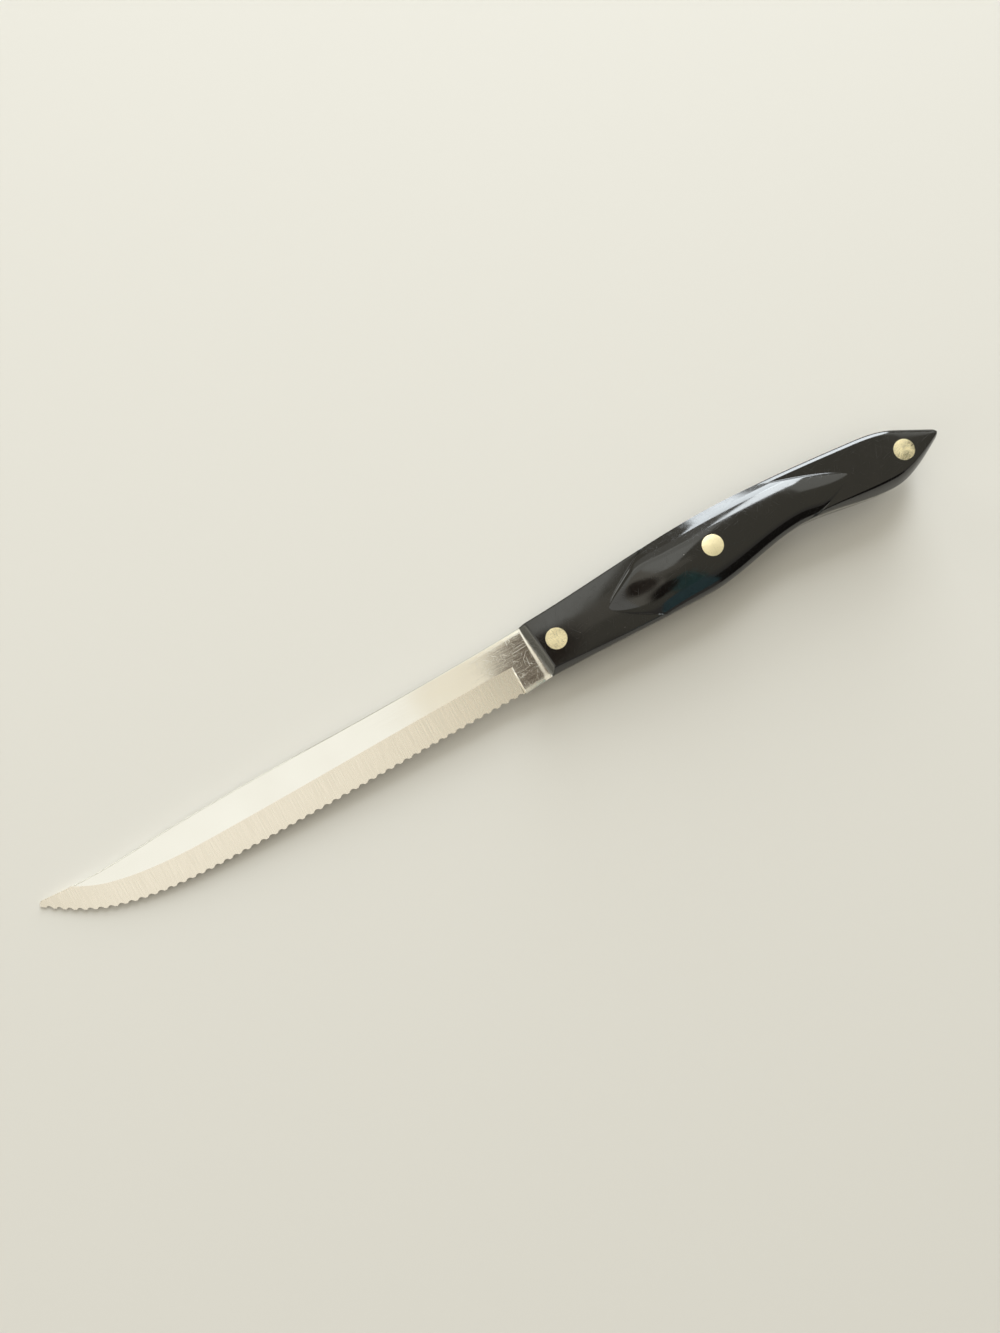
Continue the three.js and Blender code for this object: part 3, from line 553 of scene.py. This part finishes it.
# An arrow's leg is its run along the handle and the power of its bend.
FRONT_ARROW_X = 26.3
FRONT_ARROW_BACK = (18, 1.4)
FRONT_ARROW_GRIP = (16.3, 1.42)
FRONT_RISER = math.tan(math.radians(40))
REAR_ARROW_X = HANDLE_LENGTH - 32.1
REAR_ARROW_BACK = (28.4, 1.29)
REAR_ARROW_GRIP = (14.3, 1.35)
REAR_RISER = math.tan(math.radians(26))
FRONT_RIDGE = 0.75
REAR_RIDGE = 0.5
FRONT_DOME_RUN = 24
REAR_DOME_RUN = 20
DOME_POWER = 0.67
CREASE_ROUND = 0.25
CREASE_BLEND = 0.25

# Each rivet is its place along X and in Y.
RIVETS = {
    "front": (FRONT_RIVET_FROM_NOSE, 0),
    "middle": (63.6, 2.05),
    "rear": (HANDLE_LENGTH - 12.4, 0),
}
RIVET_HEAD_RADIUS = 7.14 / 2
RIVET_HEAD_DEPTH = 2.0
SLEEVE_RADIUS = 4.8 / 2
POST_RADIUS = 3.0 / 2
RIVET_CLEARANCE = 0.1
ROUND_STEPS = 96


def soft_max(a, b, radius):
    """The larger of two heights, with the corner between them rounded over the radius."""
    share = np.clip(0.5 + (a - b) / (2 * radius), 0, 1)
    return b + (a - b) * share + radius * share * (1 - share)


def soft_min(a, b, radius):
    """The smaller of two heights, with the corner between them rounded over the radius."""
    return -soft_max(-a, -b, radius)


def arrow_leg(across, back, grip):
    """Distance of an arrow's legs from its point: run times a power of the way across."""
    run, bend = back
    grip_run, grip_bend = grip
    off = np.abs(across)
    return np.where(across > 0, run * off ** bend, grip_run * off ** grip_bend)


def front_arrow(across):
    """X of the front arrow at a place across, from -1 on the grip line to 1 on the back."""
    return FRONT_ARROW_X + arrow_leg(across, FRONT_ARROW_BACK, FRONT_ARROW_GRIP)


def rear_arrow(across):
    """X of the rear arrow at a place across."""
    return REAR_ARROW_X - arrow_leg(across, REAR_ARROW_BACK, REAR_ARROW_GRIP)


def leg_spread(distance, leg):
    """How far across a leg lies at a distance from its arrow's point."""
    run, bend = leg
    return np.clip(distance / run, 1e-9, 1) ** (1 / bend)


def flat_height(x, across, half, level):
    """The flat: level less a crown, a round along the back that turns down by less than a quarter,
    and a bevel along the grip that steepens outward."""
    radius = np.where(x < SWELL_FROM_NOSE, FRONT_EDGE_ROUND, REAR_EDGE_ROUND)
    short = np.clip(radius * math.sin(EDGE_TURN) - (1 - across) * half, 0, radius)
    rounded = radius - np.sqrt(radius ** 2 - short ** 2)
    bevel_width = line_through(GRIP_BEVEL_KNOTS, x)
    into = np.clip(1 - (across + 1) * half / bevel_width, 0, 1)
    bevelled = bevel_width * (GRIP_BEVEL_START * into + GRIP_BEVEL_BEND * into ** 2)
    return level - FLAT_CROWN * across ** 2 - rounded - bevelled


def swell_height(x, across, level):
    """The swell: its crest is a parabola along the handle. Close to an arrow's point its section is
    a dome between the arrow's legs, and from there it grows into a superellipse on the full width
    that runs straight from its shoulder to the back."""
    front = x < SWELL_FROM_NOSE
    end = np.where(front, FRONT_ARROW_X, REAR_ARROW_X)
    along = np.clip(np.abs((x - SWELL_FROM_NOSE) / (end - SWELL_FROM_NOSE)), 0, 1)
    crest = SWELL_HEIGHT + (level - SWELL_HEIGHT) * along ** 2
    off = across - SWELL_CREST_SHIFT
    reach = np.clip(np.abs(off) / (1 - SWELL_CREST_SHIFT * np.sign(off)), 0, 1)
    bent = np.where(off > 0, np.minimum(reach, SWELL_SHOULDER), reach)
    section = (1 - bent ** SWELL_ROUNDNESS) ** (1 / SWELL_ROUNDNESS)
    slope = (bent / np.maximum(section, 1e-6)) ** (SWELL_ROUNDNESS - 1)
    full = SWELL_SIDE + (crest - SWELL_SIDE) * (section - slope * (reach - bent))
    from_front, from_rear = x - FRONT_ARROW_X, REAR_ARROW_X - x
    back_leg, grip_leg = (
        np.minimum(leg_spread(from_front, front_leg), leg_spread(from_rear, rear_leg))
        for front_leg, rear_leg in (
            (FRONT_ARROW_BACK, REAR_ARROW_BACK), (FRONT_ARROW_GRIP, REAR_ARROW_GRIP),
        )
    )
    ridge = (back_leg + grip_leg) * np.where(front, FRONT_RIDGE, REAR_RIDGE) - grip_leg
    leg = np.where(across > ridge, back_leg, -grip_leg)
    foot = level - FLAT_CROWN * leg ** 2
    share = np.clip((across - ridge) / (leg - ridge), 0, 1)
    dome = foot + (crest - foot) * (1 - share ** 2) ** DOME_POWER
    grown = np.where(front, smooth(from_front / FRONT_DOME_RUN), smooth(from_rear / REAR_DOME_RUN))
    return dome + (full - dome) * grown


def face_height(x, y):
    """Height of the handle's face above the steel's middle. Between the arrows the face leaves the
    flat for the swell no faster than the riser climbs, and the nose is bevelled."""
    grip, back = grip_line(x), back_line(x)
    half = np.maximum((back - grip) / 2, 1e-6)
    across = np.clip((y - (back + grip) / 2) / half, -1, 1)
    level = FRONT_HEIGHT + (REAR_HEIGHT - FRONT_HEIGHT) * x / HANDLE_LENGTH
    flat = flat_height(x, across, half, level)
    from_front, from_rear = x - front_arrow(across), rear_arrow(across) - x
    climb = np.minimum(from_front * FRONT_RISER, from_rear * REAR_RISER)
    climb = np.maximum(soft_max(climb, 0, CREASE_ROUND), 1e-6)
    rise = (swell_height(x, across, level) - flat) / climb
    shaped = flat + climb * soft_min(soft_max(rise, -1, CREASE_BLEND), 1, CREASE_BLEND)
    nose_height = STEEL_THICKNESS / 2 + NOSE_LAND
    from_nose = x + y * NOSE_RAKE
    bevelled = nose_height + from_nose * (FRONT_HEIGHT - nose_height) / NOSE_BEVEL
    return soft_min(shaped, bevelled, NOSE_ROUND)


GRIP_BEVEL_ROWS = 14
FACE_ROWS = 84
CREASE_MARGIN = 0.6
FRONT_FINE_RUN = 6
REAR_FINE_RUN = 9

# Rounds of putting a result back in, which settle the arrows and the raked nose on the rows.
ARROW_ROUNDS = 8
RAKE_ROUNDS = 6


def rows_across(x):
    """Places across of the rows of corners over x: one row follows the crease of the grip bevel,
    and above it they lie as a cosine does, closest at the crease and the back."""
    half = np.maximum((back_line(x) - grip_line(x)) / 2, 1e-6)
    crease = np.minimum(line_through(GRIP_BEVEL_KNOTS, x) / half, 1) - 1
    below = np.linspace(0, 1, GRIP_BEVEL_ROWS)
    above = 0.5 - 0.5 * np.cos(np.linspace(0, np.pi, FACE_ROWS))
    share = np.concatenate([below - 1, above[1:]])
    return np.where(share < 0, crease + share * (crease + 1), crease + share * (1 - crease))


def scale_rings():
    """Sections of the left scale. They follow the nose and the arrows, so that each crease lies
    along a row of corners, and crowd together where the face turns fast. A station is a line across
    the handle and the steps from it to the next one."""
    level = np.ones_like(rows_across(0.0))
    front, rear = FRONT_ARROW_X * level, REAR_ARROW_X * level
    for _ in range(ARROW_ROUNDS):
        front, rear = front_arrow(rows_across(front)), rear_arrow(rows_across(rear))
    stations = [
        (0 * level, 12),
        ((NOSE_BEVEL + CREASE_MARGIN) * level, 24),
        (front - CREASE_MARGIN, 12),
        (front + CREASE_MARGIN, 24),
        (front + FRONT_FINE_RUN, 40),
        (SWELL_FROM_NOSE * level, 50),
        (rear - REAR_FINE_RUN, 34),
        (rear - CREASE_MARGIN, 12),
        (rear + CREASE_MARGIN, 16),
        (hook_x * level, 36),
        (tail_x * level, 30),
        ((HANDLE_LENGTH - TAIL_GAP) * level, 0),
    ]
    x = []
    for (line, steps), (beyond, _) in zip(stations, stations[1:]):
        share = np.linspace(0, 1, steps, endpoint=False)[:, None]
        if beyond is stations[-1][0]:
            share = np.sin(share * np.pi / 2)
        x.append(line + (beyond - line) * share)
    x = np.concatenate(x + [stations[-1][0][None]])
    raked = np.clip(1 - x / (FRONT_ARROW_X - CREASE_MARGIN), 0, 1)
    y = 0 * x
    for _ in range(RAKE_ROUNDS):
        shifted = x - y * NOSE_RAKE * raked
        across = rows_across(shifted)
        y = grip_line(shifted) + (back_line(shifted) - grip_line(shifted)) * (across + 1) / 2
    x = x - y * NOSE_RAKE * raked
    face = np.stack([x, y, face_height(x, y)], axis=-1)
    inner = face[:, [0, -1]].copy()
    inner[..., 2] = STEEL_THICKNESS / 2
    return np.concatenate([inner[:, :1], face, inner[:, 1:]], axis=1)


def seat_height(place):
    """Seat of a rivet head: its depth below the lowest point of the face round it."""
    around = np.linspace(0, 2 * np.pi, ROUND_STEPS)
    x = place[0] + RIVET_HEAD_RADIUS * np.cos(around)
    y = place[1] + RIVET_HEAD_RADIUS * np.sin(around)
    return face_height(x, y).min() - RIVET_HEAD_DEPTH


def turned_rings(place, profile):
    """Rings of a turned piece: each radius and height of the profile carried round its axis."""
    radius, height = np.array(profile, float).T[:, :, None]
    around = np.linspace(0, 2 * np.pi, ROUND_STEPS, endpoint=False)
    x = place[0] + radius * np.cos(around)
    y = place[1] + radius * np.sin(around)
    return np.stack([x, y, height + 0 * x], axis=-1)


def drill(scale, side):
    """Cuts the three stepped rivet holes into a scale."""
    bore = SLEEVE_RADIUS + RIVET_CLEARANCE
    step = RIVET_HEAD_RADIUS + RIVET_CLEARANCE
    above = 2 * SWELL_HEIGHT
    for name, place in RIVETS.items():
        seat = seat_height(place)
        hole = turned_rings(place, [(bore, 0), (bore, seat), (step, seat), (step, above)])
        cutter = skin("drill", hole * [1, 1, side])
        cut = scale.modifiers.new(name, "BOOLEAN")
        cut.operation = "DIFFERENCE"
        cut.solver = "MANIFOLD"
        cut.object = cutter
    whole = scale.evaluated_get(bpy.context.evaluated_depsgraph_get())
    scale.data = bpy.data.meshes.new_from_object(whole)
    for cut in list(scale.modifiers):
        cutter = cut.object
        scale.modifiers.remove(cut)
        bpy.data.objects.remove(cutter)


# Black moulded resin, buffed: a deep warm black under a clear gloss, with slight waves from the
# mould, hairlines from use and a few specks of dust. Hairlines are a few hundredths of a millimetre
# wide and drawn about 0.12 mm wide, so that they show.
RESIN_COLOUR = linear("#0A0909")
RESIN_WARM_COLOUR = linear("#14100E")
DUST_COLOUR = linear("#A09C94")
RESIN_IOR = 1.65
RESIN_MOTTLE = 6
RESIN_WAVE = 11
RESIN_WAVE_DEPTH = 0.03
RESIN_HAIRLINES = [(14, 7, 0.12), (-52, 4, 0.12), (63, 5, 0.12)]
RESIN_CREST = (0.66, 0.78)
GLOSS_ROUGH = (0.05, 0.13)
SCUFF_ROUGH = 0.34
DUST_SPACING = 4.2
DUST_RADIUS = 0.13
DUST_CORE_RADIUS = 0.6 * DUST_RADIUS
DUST_ROUGH = 0.9

black_resin = bpy.data.materials.new("buffed_black_resin")
black_resin.use_nodes = True
tree = black_resin.node_tree
place = add_node(tree, "ShaderNodeAttribute", {}, attribute_name="place").outputs["Vector"]
mottle = add_node(tree, "ShaderNodeTexNoise", {
    "Vector": place, "Scale": 1 / RESIN_MOTTLE, "Detail": 4.0,
}).outputs["Fac"]
body_colour = add_node(tree, "ShaderNodeMix", {
    0: mottle, 6: RESIN_COLOUR, 7: RESIN_WARM_COLOUR,
}, data_type="RGBA").outputs[2]
gloss = add_node(tree, "ShaderNodeMapRange", {
    "Value": mottle, "From Min": NOISE_SPAN[0], "From Max": NOISE_SPAN[1],
    "To Min": GLOSS_ROUGH[0], "To Max": GLOSS_ROUGH[1],
}).outputs[0]
resin_web = hairlines(tree, place, RESIN_HAIRLINES, RESIN_CREST)
scuffed = add_node(tree, "ShaderNodeMix", {0: resin_web, 2: gloss, 3: SCUFF_ROUGH}).outputs[0]
specks = add_node(tree, "ShaderNodeTexVoronoi", {"Vector": place, "Scale": 1 / DUST_SPACING})
dusty = add_node(tree, "ShaderNodeMapRange", {
    "Value": specks.outputs["Distance"],
    "From Min": DUST_RADIUS / DUST_SPACING, "From Max": DUST_CORE_RADIUS / DUST_SPACING,
}).outputs[0]
resin_colour = add_node(tree, "ShaderNodeMix", {
    0: dusty, 6: body_colour, 7: DUST_COLOUR,
}, data_type="RGBA").outputs[2]
resin_rough = add_node(tree, "ShaderNodeMix", {0: dusty, 2: scuffed, 3: DUST_ROUGH}).outputs[0]
wave = add_node(tree, "ShaderNodeTexNoise", {
    "Vector": place, "Scale": 1 / RESIN_WAVE, "Detail": 1.0,
}).outputs["Fac"]
wave_bump = add_node(tree, "ShaderNodeBump", {
    "Height": wave, "Strength": 1.0, "Distance": RESIN_WAVE_DEPTH / 1000,
}).outputs[0]
shader = tree.nodes["Principled BSDF"]
shader.inputs["IOR"].default_value = RESIN_IOR
tree.links.new(resin_colour, shader.inputs["Base Color"])
tree.links.new(resin_rough, shader.inputs["Roughness"])
tree.links.new(wave_bump, shader.inputs["Normal"])

scale_left_rings = scale_rings()
for side_name, side in (("left", 1), ("right", -1)):
    scale = skin(f"handle_scale_{side_name}_moulded", scale_left_rings * [1, 1, side])
    drill(scale, side)
    dress(scale, black_resin, crease=40)
    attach(scale, "root")
    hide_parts(f"handle_scale_{side_name}")


# Rivets: three two-piece compression rivets of nickel silver. A solid post on the left is pressed
# into a hollow sleeve on the right, and both heads are ground flush with the handle's face.

HEAD_ROUND = 0.12
HEAD_RINGS = 28
HEAD_FIRST_RING = 0.01
AXIS_RADIUS = 0.02

# Nickel silver, ground with fine grit and left to tarnish: a warm pale metal with a soft sheen and
# short grinding lines. The lines are finer than the picture shows, so they are drawn 0.2 mm wide.
RIVET_COLOUR = linear("#FBEDC6")
RIVET_DULL_COLOUR = linear("#EDDFB6")
RIVET_HAIRLINES = [(10, 2.5, 0.2), (-35, 2, 0.2)]
RIVET_CREST = (0.56, 0.74)
RIVET_TARNISH = 1.5
RIVET_ROUGH = (0.42, 0.6)
RIVET_STRENGTH = 0.25
RIVET_BUMP_DEPTH = 0.03

nickel_silver = bpy.data.materials.new("ground_nickel_silver")
nickel_silver.use_nodes = True
tree = nickel_silver.node_tree
place = add_node(tree, "ShaderNodeAttribute", {}, attribute_name="place").outputs["Vector"]
tarnish = add_node(tree, "ShaderNodeTexNoise", {
    "Vector": place, "Scale": 1 / RIVET_TARNISH, "Detail": 4.0,
}).outputs["Fac"]
rivet_colour = add_node(tree, "ShaderNodeMix", {
    0: tarnish, 6: RIVET_COLOUR, 7: RIVET_DULL_COLOUR,
}, data_type="RGBA").outputs[2]
brushed = hairlines(tree, place, RIVET_HAIRLINES, RIVET_CREST)
rivet_rough = add_node(tree, "ShaderNodeMapRange", {
    "Value": brushed, "To Min": RIVET_ROUGH[0], "To Max": RIVET_ROUGH[1],
}).outputs[0]
rivet_bump = add_node(tree, "ShaderNodeBump", {
    "Height": brushed, "Strength": RIVET_STRENGTH, "Distance": RIVET_BUMP_DEPTH / 1000,
}).outputs[0]
shader = tree.nodes["Principled BSDF"]
shader.inputs["Metallic"].default_value = 1.0
tree.links.new(rivet_colour, shader.inputs["Base Color"])
tree.links.new(rivet_rough, shader.inputs["Roughness"])
tree.links.new(rivet_bump, shader.inputs["Normal"])


def head_rings(place):
    """Rings of a ground head, from its middle out over the rounded rim: the handle's own face."""
    turns = np.linspace(HEAD_FIRST_RING, np.pi / 2, HEAD_RINGS)
    radius = RIVET_HEAD_RADIUS * np.sin(turns)[:, None]
    around = np.linspace(0, 2 * np.pi, ROUND_STEPS, endpoint=False)
    x = place[0] + radius * np.cos(around)
    y = place[1] + radius * np.sin(around)
    over = np.clip(radius - RIVET_HEAD_RADIUS + HEAD_ROUND, 0, HEAD_ROUND)
    rim = HEAD_ROUND - np.sqrt(HEAD_ROUND ** 2 - over ** 2)
    return np.stack([x, y, face_height(x, y) - rim], axis=-1)


for rivet_name, place in RIVETS.items():
    seat = seat_height(place)
    head = seat + BEDDING
    mouth = -seat + BEDDING
    post = turned_rings(place, [
        (RIVET_HEAD_RADIUS, head), (POST_RADIUS, head), (POST_RADIUS, -head), (AXIS_RADIUS, -head),
    ])
    bore = POST_RADIUS + RIVET_CLEARANCE
    sleeve = turned_rings(place, [
        (RIVET_HEAD_RADIUS, head), (SLEEVE_RADIUS, head), (SLEEVE_RADIUS, mouth),
        (bore, mouth), (bore, seat), (AXIS_RADIUS, seat),
    ])
    for half_name, stem, side in (("post", post, 1), ("sleeve", sleeve, -1)):
        rings = np.concatenate([head_rings(place), stem]) * [1, 1, side]
        half = skin(f"rivet_{rivet_name}_{half_name}_ground", rings)
        dress(half, nickel_silver, crease=40)
        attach(half, "root")
        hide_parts(f"rivet_{rivet_name}_{half_name}")


# Floor: a plain pale matt surface, on which the knife lies on its right side. It reaches well past
# the lamps. Sizes from here on are metres in the row's frame.

FLOOR_COLOUR = linear("#D2CEC8")
FLOOR_ROUGH = 0.8
FLOOR_HALF = 6
SQUARE = np.array([(-1, -1, 0), (1, -1, 0), (1, 1, 0), (-1, 1, 0)])

pale_surface = bpy.data.materials.new("matt_pale_floor")
pale_surface.use_nodes = True
shader = pale_surface.node_tree.nodes["Principled BSDF"]
shader.inputs["Base Color"].default_value = FLOOR_COLOUR
shader.inputs["Roughness"].default_value = FLOOR_ROUGH
floor_mesh = bpy.data.meshes.new("floor")
floor_mesh.from_pydata((FLOOR_HALF * SQUARE).tolist(), [], [(0, 1, 2, 3)])
floor_mesh.materials.append(pale_surface)
floor = bpy.data.objects.new("floor", floor_mesh)
bpy.context.scene.collection.objects.link(floor)


# Light: a soft room, dimmer low on the edge's side, with ceiling panels, pale walls past the back
# and the tip, and a two-paned window past the tail. Five matt cards, dark and blue-green, stand on
# the grip's side and round the camera. Polished faces mirror them, and nothing else shows them.

ROOM_COLOUR = linear("#FFFAE2")
ROOM_DIM_COLOUR = linear("#CFCCC4")
ROOM_BRIGHTNESS = 0.47
# The room dims over this span of a direction's Y.
ROOM_DIM_SPAN = (-0.68, -0.48)
CEILING_COLOUR = "#FCFFFA"
TIP_CEILING_COLOUR = "#FCFEFF"
HEEL_CEILING_COLOUR = "#FFF6E6"
CEILING = 1.5

world = bpy.data.worlds.new("soft_room")
world.use_nodes = True
tree = world.node_tree
toward = add_node(tree, "ShaderNodeTexCoord", {}).outputs["Generated"]
sideways = add_node(tree, "ShaderNodeSeparateXYZ", {"Vector": toward}).outputs["Y"]
lit = add_node(tree, "ShaderNodeMapRange", {
    "Value": sideways, "From Min": ROOM_DIM_SPAN[0], "From Max": ROOM_DIM_SPAN[1],
}, interpolation_type="SMOOTHSTEP").outputs[0]
room_colour = add_node(tree, "ShaderNodeMix", {
    0: lit, 6: ROOM_DIM_COLOUR, 7: ROOM_COLOUR,
}, data_type="RGBA").outputs[2]
tree.links.new(room_colour, tree.nodes["Background"].inputs["Color"])
tree.nodes["Background"].inputs["Strength"].default_value = ROOM_BRIGHTNESS
bpy.context.scene.world = world


def panel(name, size, brightness, colour, place, aim=None, spin=0):
    """A flat lamp whose face shines at a brightness where 1 is white. It faces a point, or straight
    down where none is given, and is spun in its plane by some degrees."""
    lamp = bpy.data.lights.new(name, "AREA")
    lamp.shape = "RECTANGLE"
    lamp.size, lamp.size_y = size
    lamp.energy = brightness * math.pi * size[0] * size[1]
    lamp.color = linear(colour)[:3]
    holder = bpy.data.objects.new(name, lamp)
    holder.location = place
    toward = Vector(aim) - Vector(place) if aim else Vector((0, 0, -1))
    facing = toward.to_track_quat("-Z", "Y").to_matrix()
    holder.rotation_euler = (facing @ Matrix.Rotation(math.radians(spin), 3, "Z")).to_euler()
    holder.visible_camera = False
    bpy.context.scene.collection.objects.link(holder)


def card(name, colour, middle, size, across, up, rim=0):
    """A flat matt card of a width and height round its middle, along two directions. It thins out
    to nothing over a rim, given as a share of its size. Only reflections show it."""
    half_sides = np.array([across, up, (0, 0, 0)]) * [[size[0] / 2], [size[1] / 2], [0]]
    mesh = bpy.data.meshes.new(name)
    mesh.from_pydata((middle + SQUARE @ half_sides).tolist(), [], [(0, 1, 2, 3)])
    spread = mesh.attributes.new("spread", "FLOAT_VECTOR", "POINT")
    spread.data.foreach_set("vector", SQUARE.astype(np.float32).ravel())
    matt = bpy.data.materials.new(name)
    matt.use_nodes = True
    tree = matt.node_tree
    shader = tree.nodes["Principled BSDF"]
    shader.inputs["Base Color"].default_value = linear(colour)
    shader.inputs["Roughness"].default_value = 1.0
    if rim > 0:
        spot = add_node(tree, "ShaderNodeAttribute", {}, attribute_name="spread").outputs["Vector"]
        out = add_node(tree, "ShaderNodeVectorMath", {0: spot}, operation="LENGTH").outputs["Value"]
        solid = add_node(tree, "ShaderNodeMapRange", {
            "Value": out, "From Min": 1.0, "From Max": 1.0 - rim,
        }, interpolation_type="SMOOTHSTEP").outputs[0]
        tree.links.new(solid, shader.inputs["Alpha"])
    mesh.materials.append(matt)
    sheet = bpy.data.objects.new(name, mesh)
    sheet.visible_camera = False
    sheet.visible_diffuse = False
    sheet.visible_shadow = False
    bpy.context.scene.collection.objects.link(sheet)


KNIFE_MIDDLE = (0, 0, 0)
HANDLE_MIDDLE = (0.08, 0, 0.02)
SWELL_MIDDLE = (0.06, 0, 0.02)
BACK_SPIN = 62

panel("ceiling_past_tip", (0.5, 1.4), 0.75, TIP_CEILING_COLOUR, (-1.1, -0.1, CEILING))
panel("ceiling_over_tip", (0.685, 1.1), 0.75, TIP_CEILING_COLOUR, (-0.5075, 0.05, CEILING))
panel("ceiling_over_heel", (0.225, 1.2), 0.575, HEEL_CEILING_COLOUR, (-0.0525, 0.1, CEILING))
panel("ceiling_over_nose", (0.28, 0.16), 0.28, HEEL_CEILING_COLOUR, (0.165, 0.12, CEILING))
panel(
    "ceiling_over_back", (0.6, 0.33), 1.22, CEILING_COLOUR, (0.166, 0.505, CEILING), spin=BACK_SPIN,
)
panel(
    "ceiling_past_back", (0.92, 0.9), 0.94, CEILING_COLOUR, (0.027, 0.85, CEILING), spin=BACK_SPIN,
)
panel("ceiling_over_tail", (0.9, 1.0), 0.94, CEILING_COLOUR, (1.38, 0.6, CEILING))
panel("back_wall", (0.9, 0.9), 0.35, CEILING_COLOUR, (0.25, 1.6, 1.4), SWELL_MIDDLE)
panel("side_wall", (0.9, 0.9), 2.8, CEILING_COLOUR, (-0.96, 2.175, 0.75), KNIFE_MIDDLE)
panel("window_upper", (0.8, 0.945), 12.2, "#F4FBFF", (1.19, 1.53, 1.55), HANDLE_MIDDLE)
panel("window_lower", (1.24, 1.0), 10.3, "#F2FAFF", (1.13, 1.89, 0.66), HANDLE_MIDDLE)
panel("tip_wall", (1.0, 0.8), 1.7, "#FBFBF2", (-1.7, 0, 0.7), KNIFE_MIDDLE)

ALONG = (1, 0, 0)
BACKWARD = (0, 1, 0)
UPWARD = (0, 0, 1)
SLANTED_ALONG = (0.96, 0.28, 0)
SLANTED_BACKWARD = (-0.28, 0.96, 0)

card("brown_card", "#6E6157", (0.027, 0.006, 0.323), (0.068, 0.114), ALONG, BACKWARD, rim=0.5)
card("dark_card", "#2A211D", (0.058, -0.071, 0.27), (0.07, 0.105), ALONG, BACKWARD, rim=0.5)
card("teal_card", "#74C0CA", (0.138, -0.263, 0.62), (0.1, 0.345), SLANTED_ALONG, SLANTED_BACKWARD)
card("teal_screen", "#597E86", (0.104, -0.2, 0.19), (0.078, 0.22), ALONG, UPWARD)
card("black_flag", "#0A0A0A", (0.34, -0.45, 0.205), (0.22, 0.41), ALONG, UPWARD)


# Camera: nearly overhead, about 0.3 m from the knife, which its wide lens shows whole. The middle
# of the view and its distance are millimetres in the knife's own frame.

FRAME_HEIGHT_PIXELS = 1333
FOCAL_PIXELS = 1003
VIEW_MIDDLE = np.array([-11.9, 1.17, 0])
VIEW_DISTANCE = 316.7
VIEW_TURN = math.radians(-28.6)
VIEW_RISE = math.radians(85)
NEAREST = 0.01

lens = bpy.data.cameras.new("camera")
lens.lens = lens.sensor_width * FOCAL_PIXELS / FRAME_HEIGHT_PIXELS
lens.clip_start = NEAREST
away = np.array([
    math.sin(VIEW_TURN) * math.cos(VIEW_RISE),
    -math.cos(VIEW_TURN) * math.cos(VIEW_RISE),
    math.sin(VIEW_RISE),
])
right = np.array([math.cos(VIEW_TURN), math.sin(VIEW_TURN), 0])
axes = np.stack([turn @ right, turn @ np.cross(away, right), turn @ away], axis=1)
camera = bpy.data.objects.new("camera", lens)
placed = np.eye(4)
placed[:3, :3] = axes
placed[:3, 3] = to_row(VIEW_MIDDLE + away * VIEW_DISTANCE)
camera.matrix_world = Matrix(placed.tolist())
bpy.context.scene.collection.objects.link(camera)
bpy.context.scene.camera = camera

bpy.context.scene.view_settings.view_transform = "Standard"
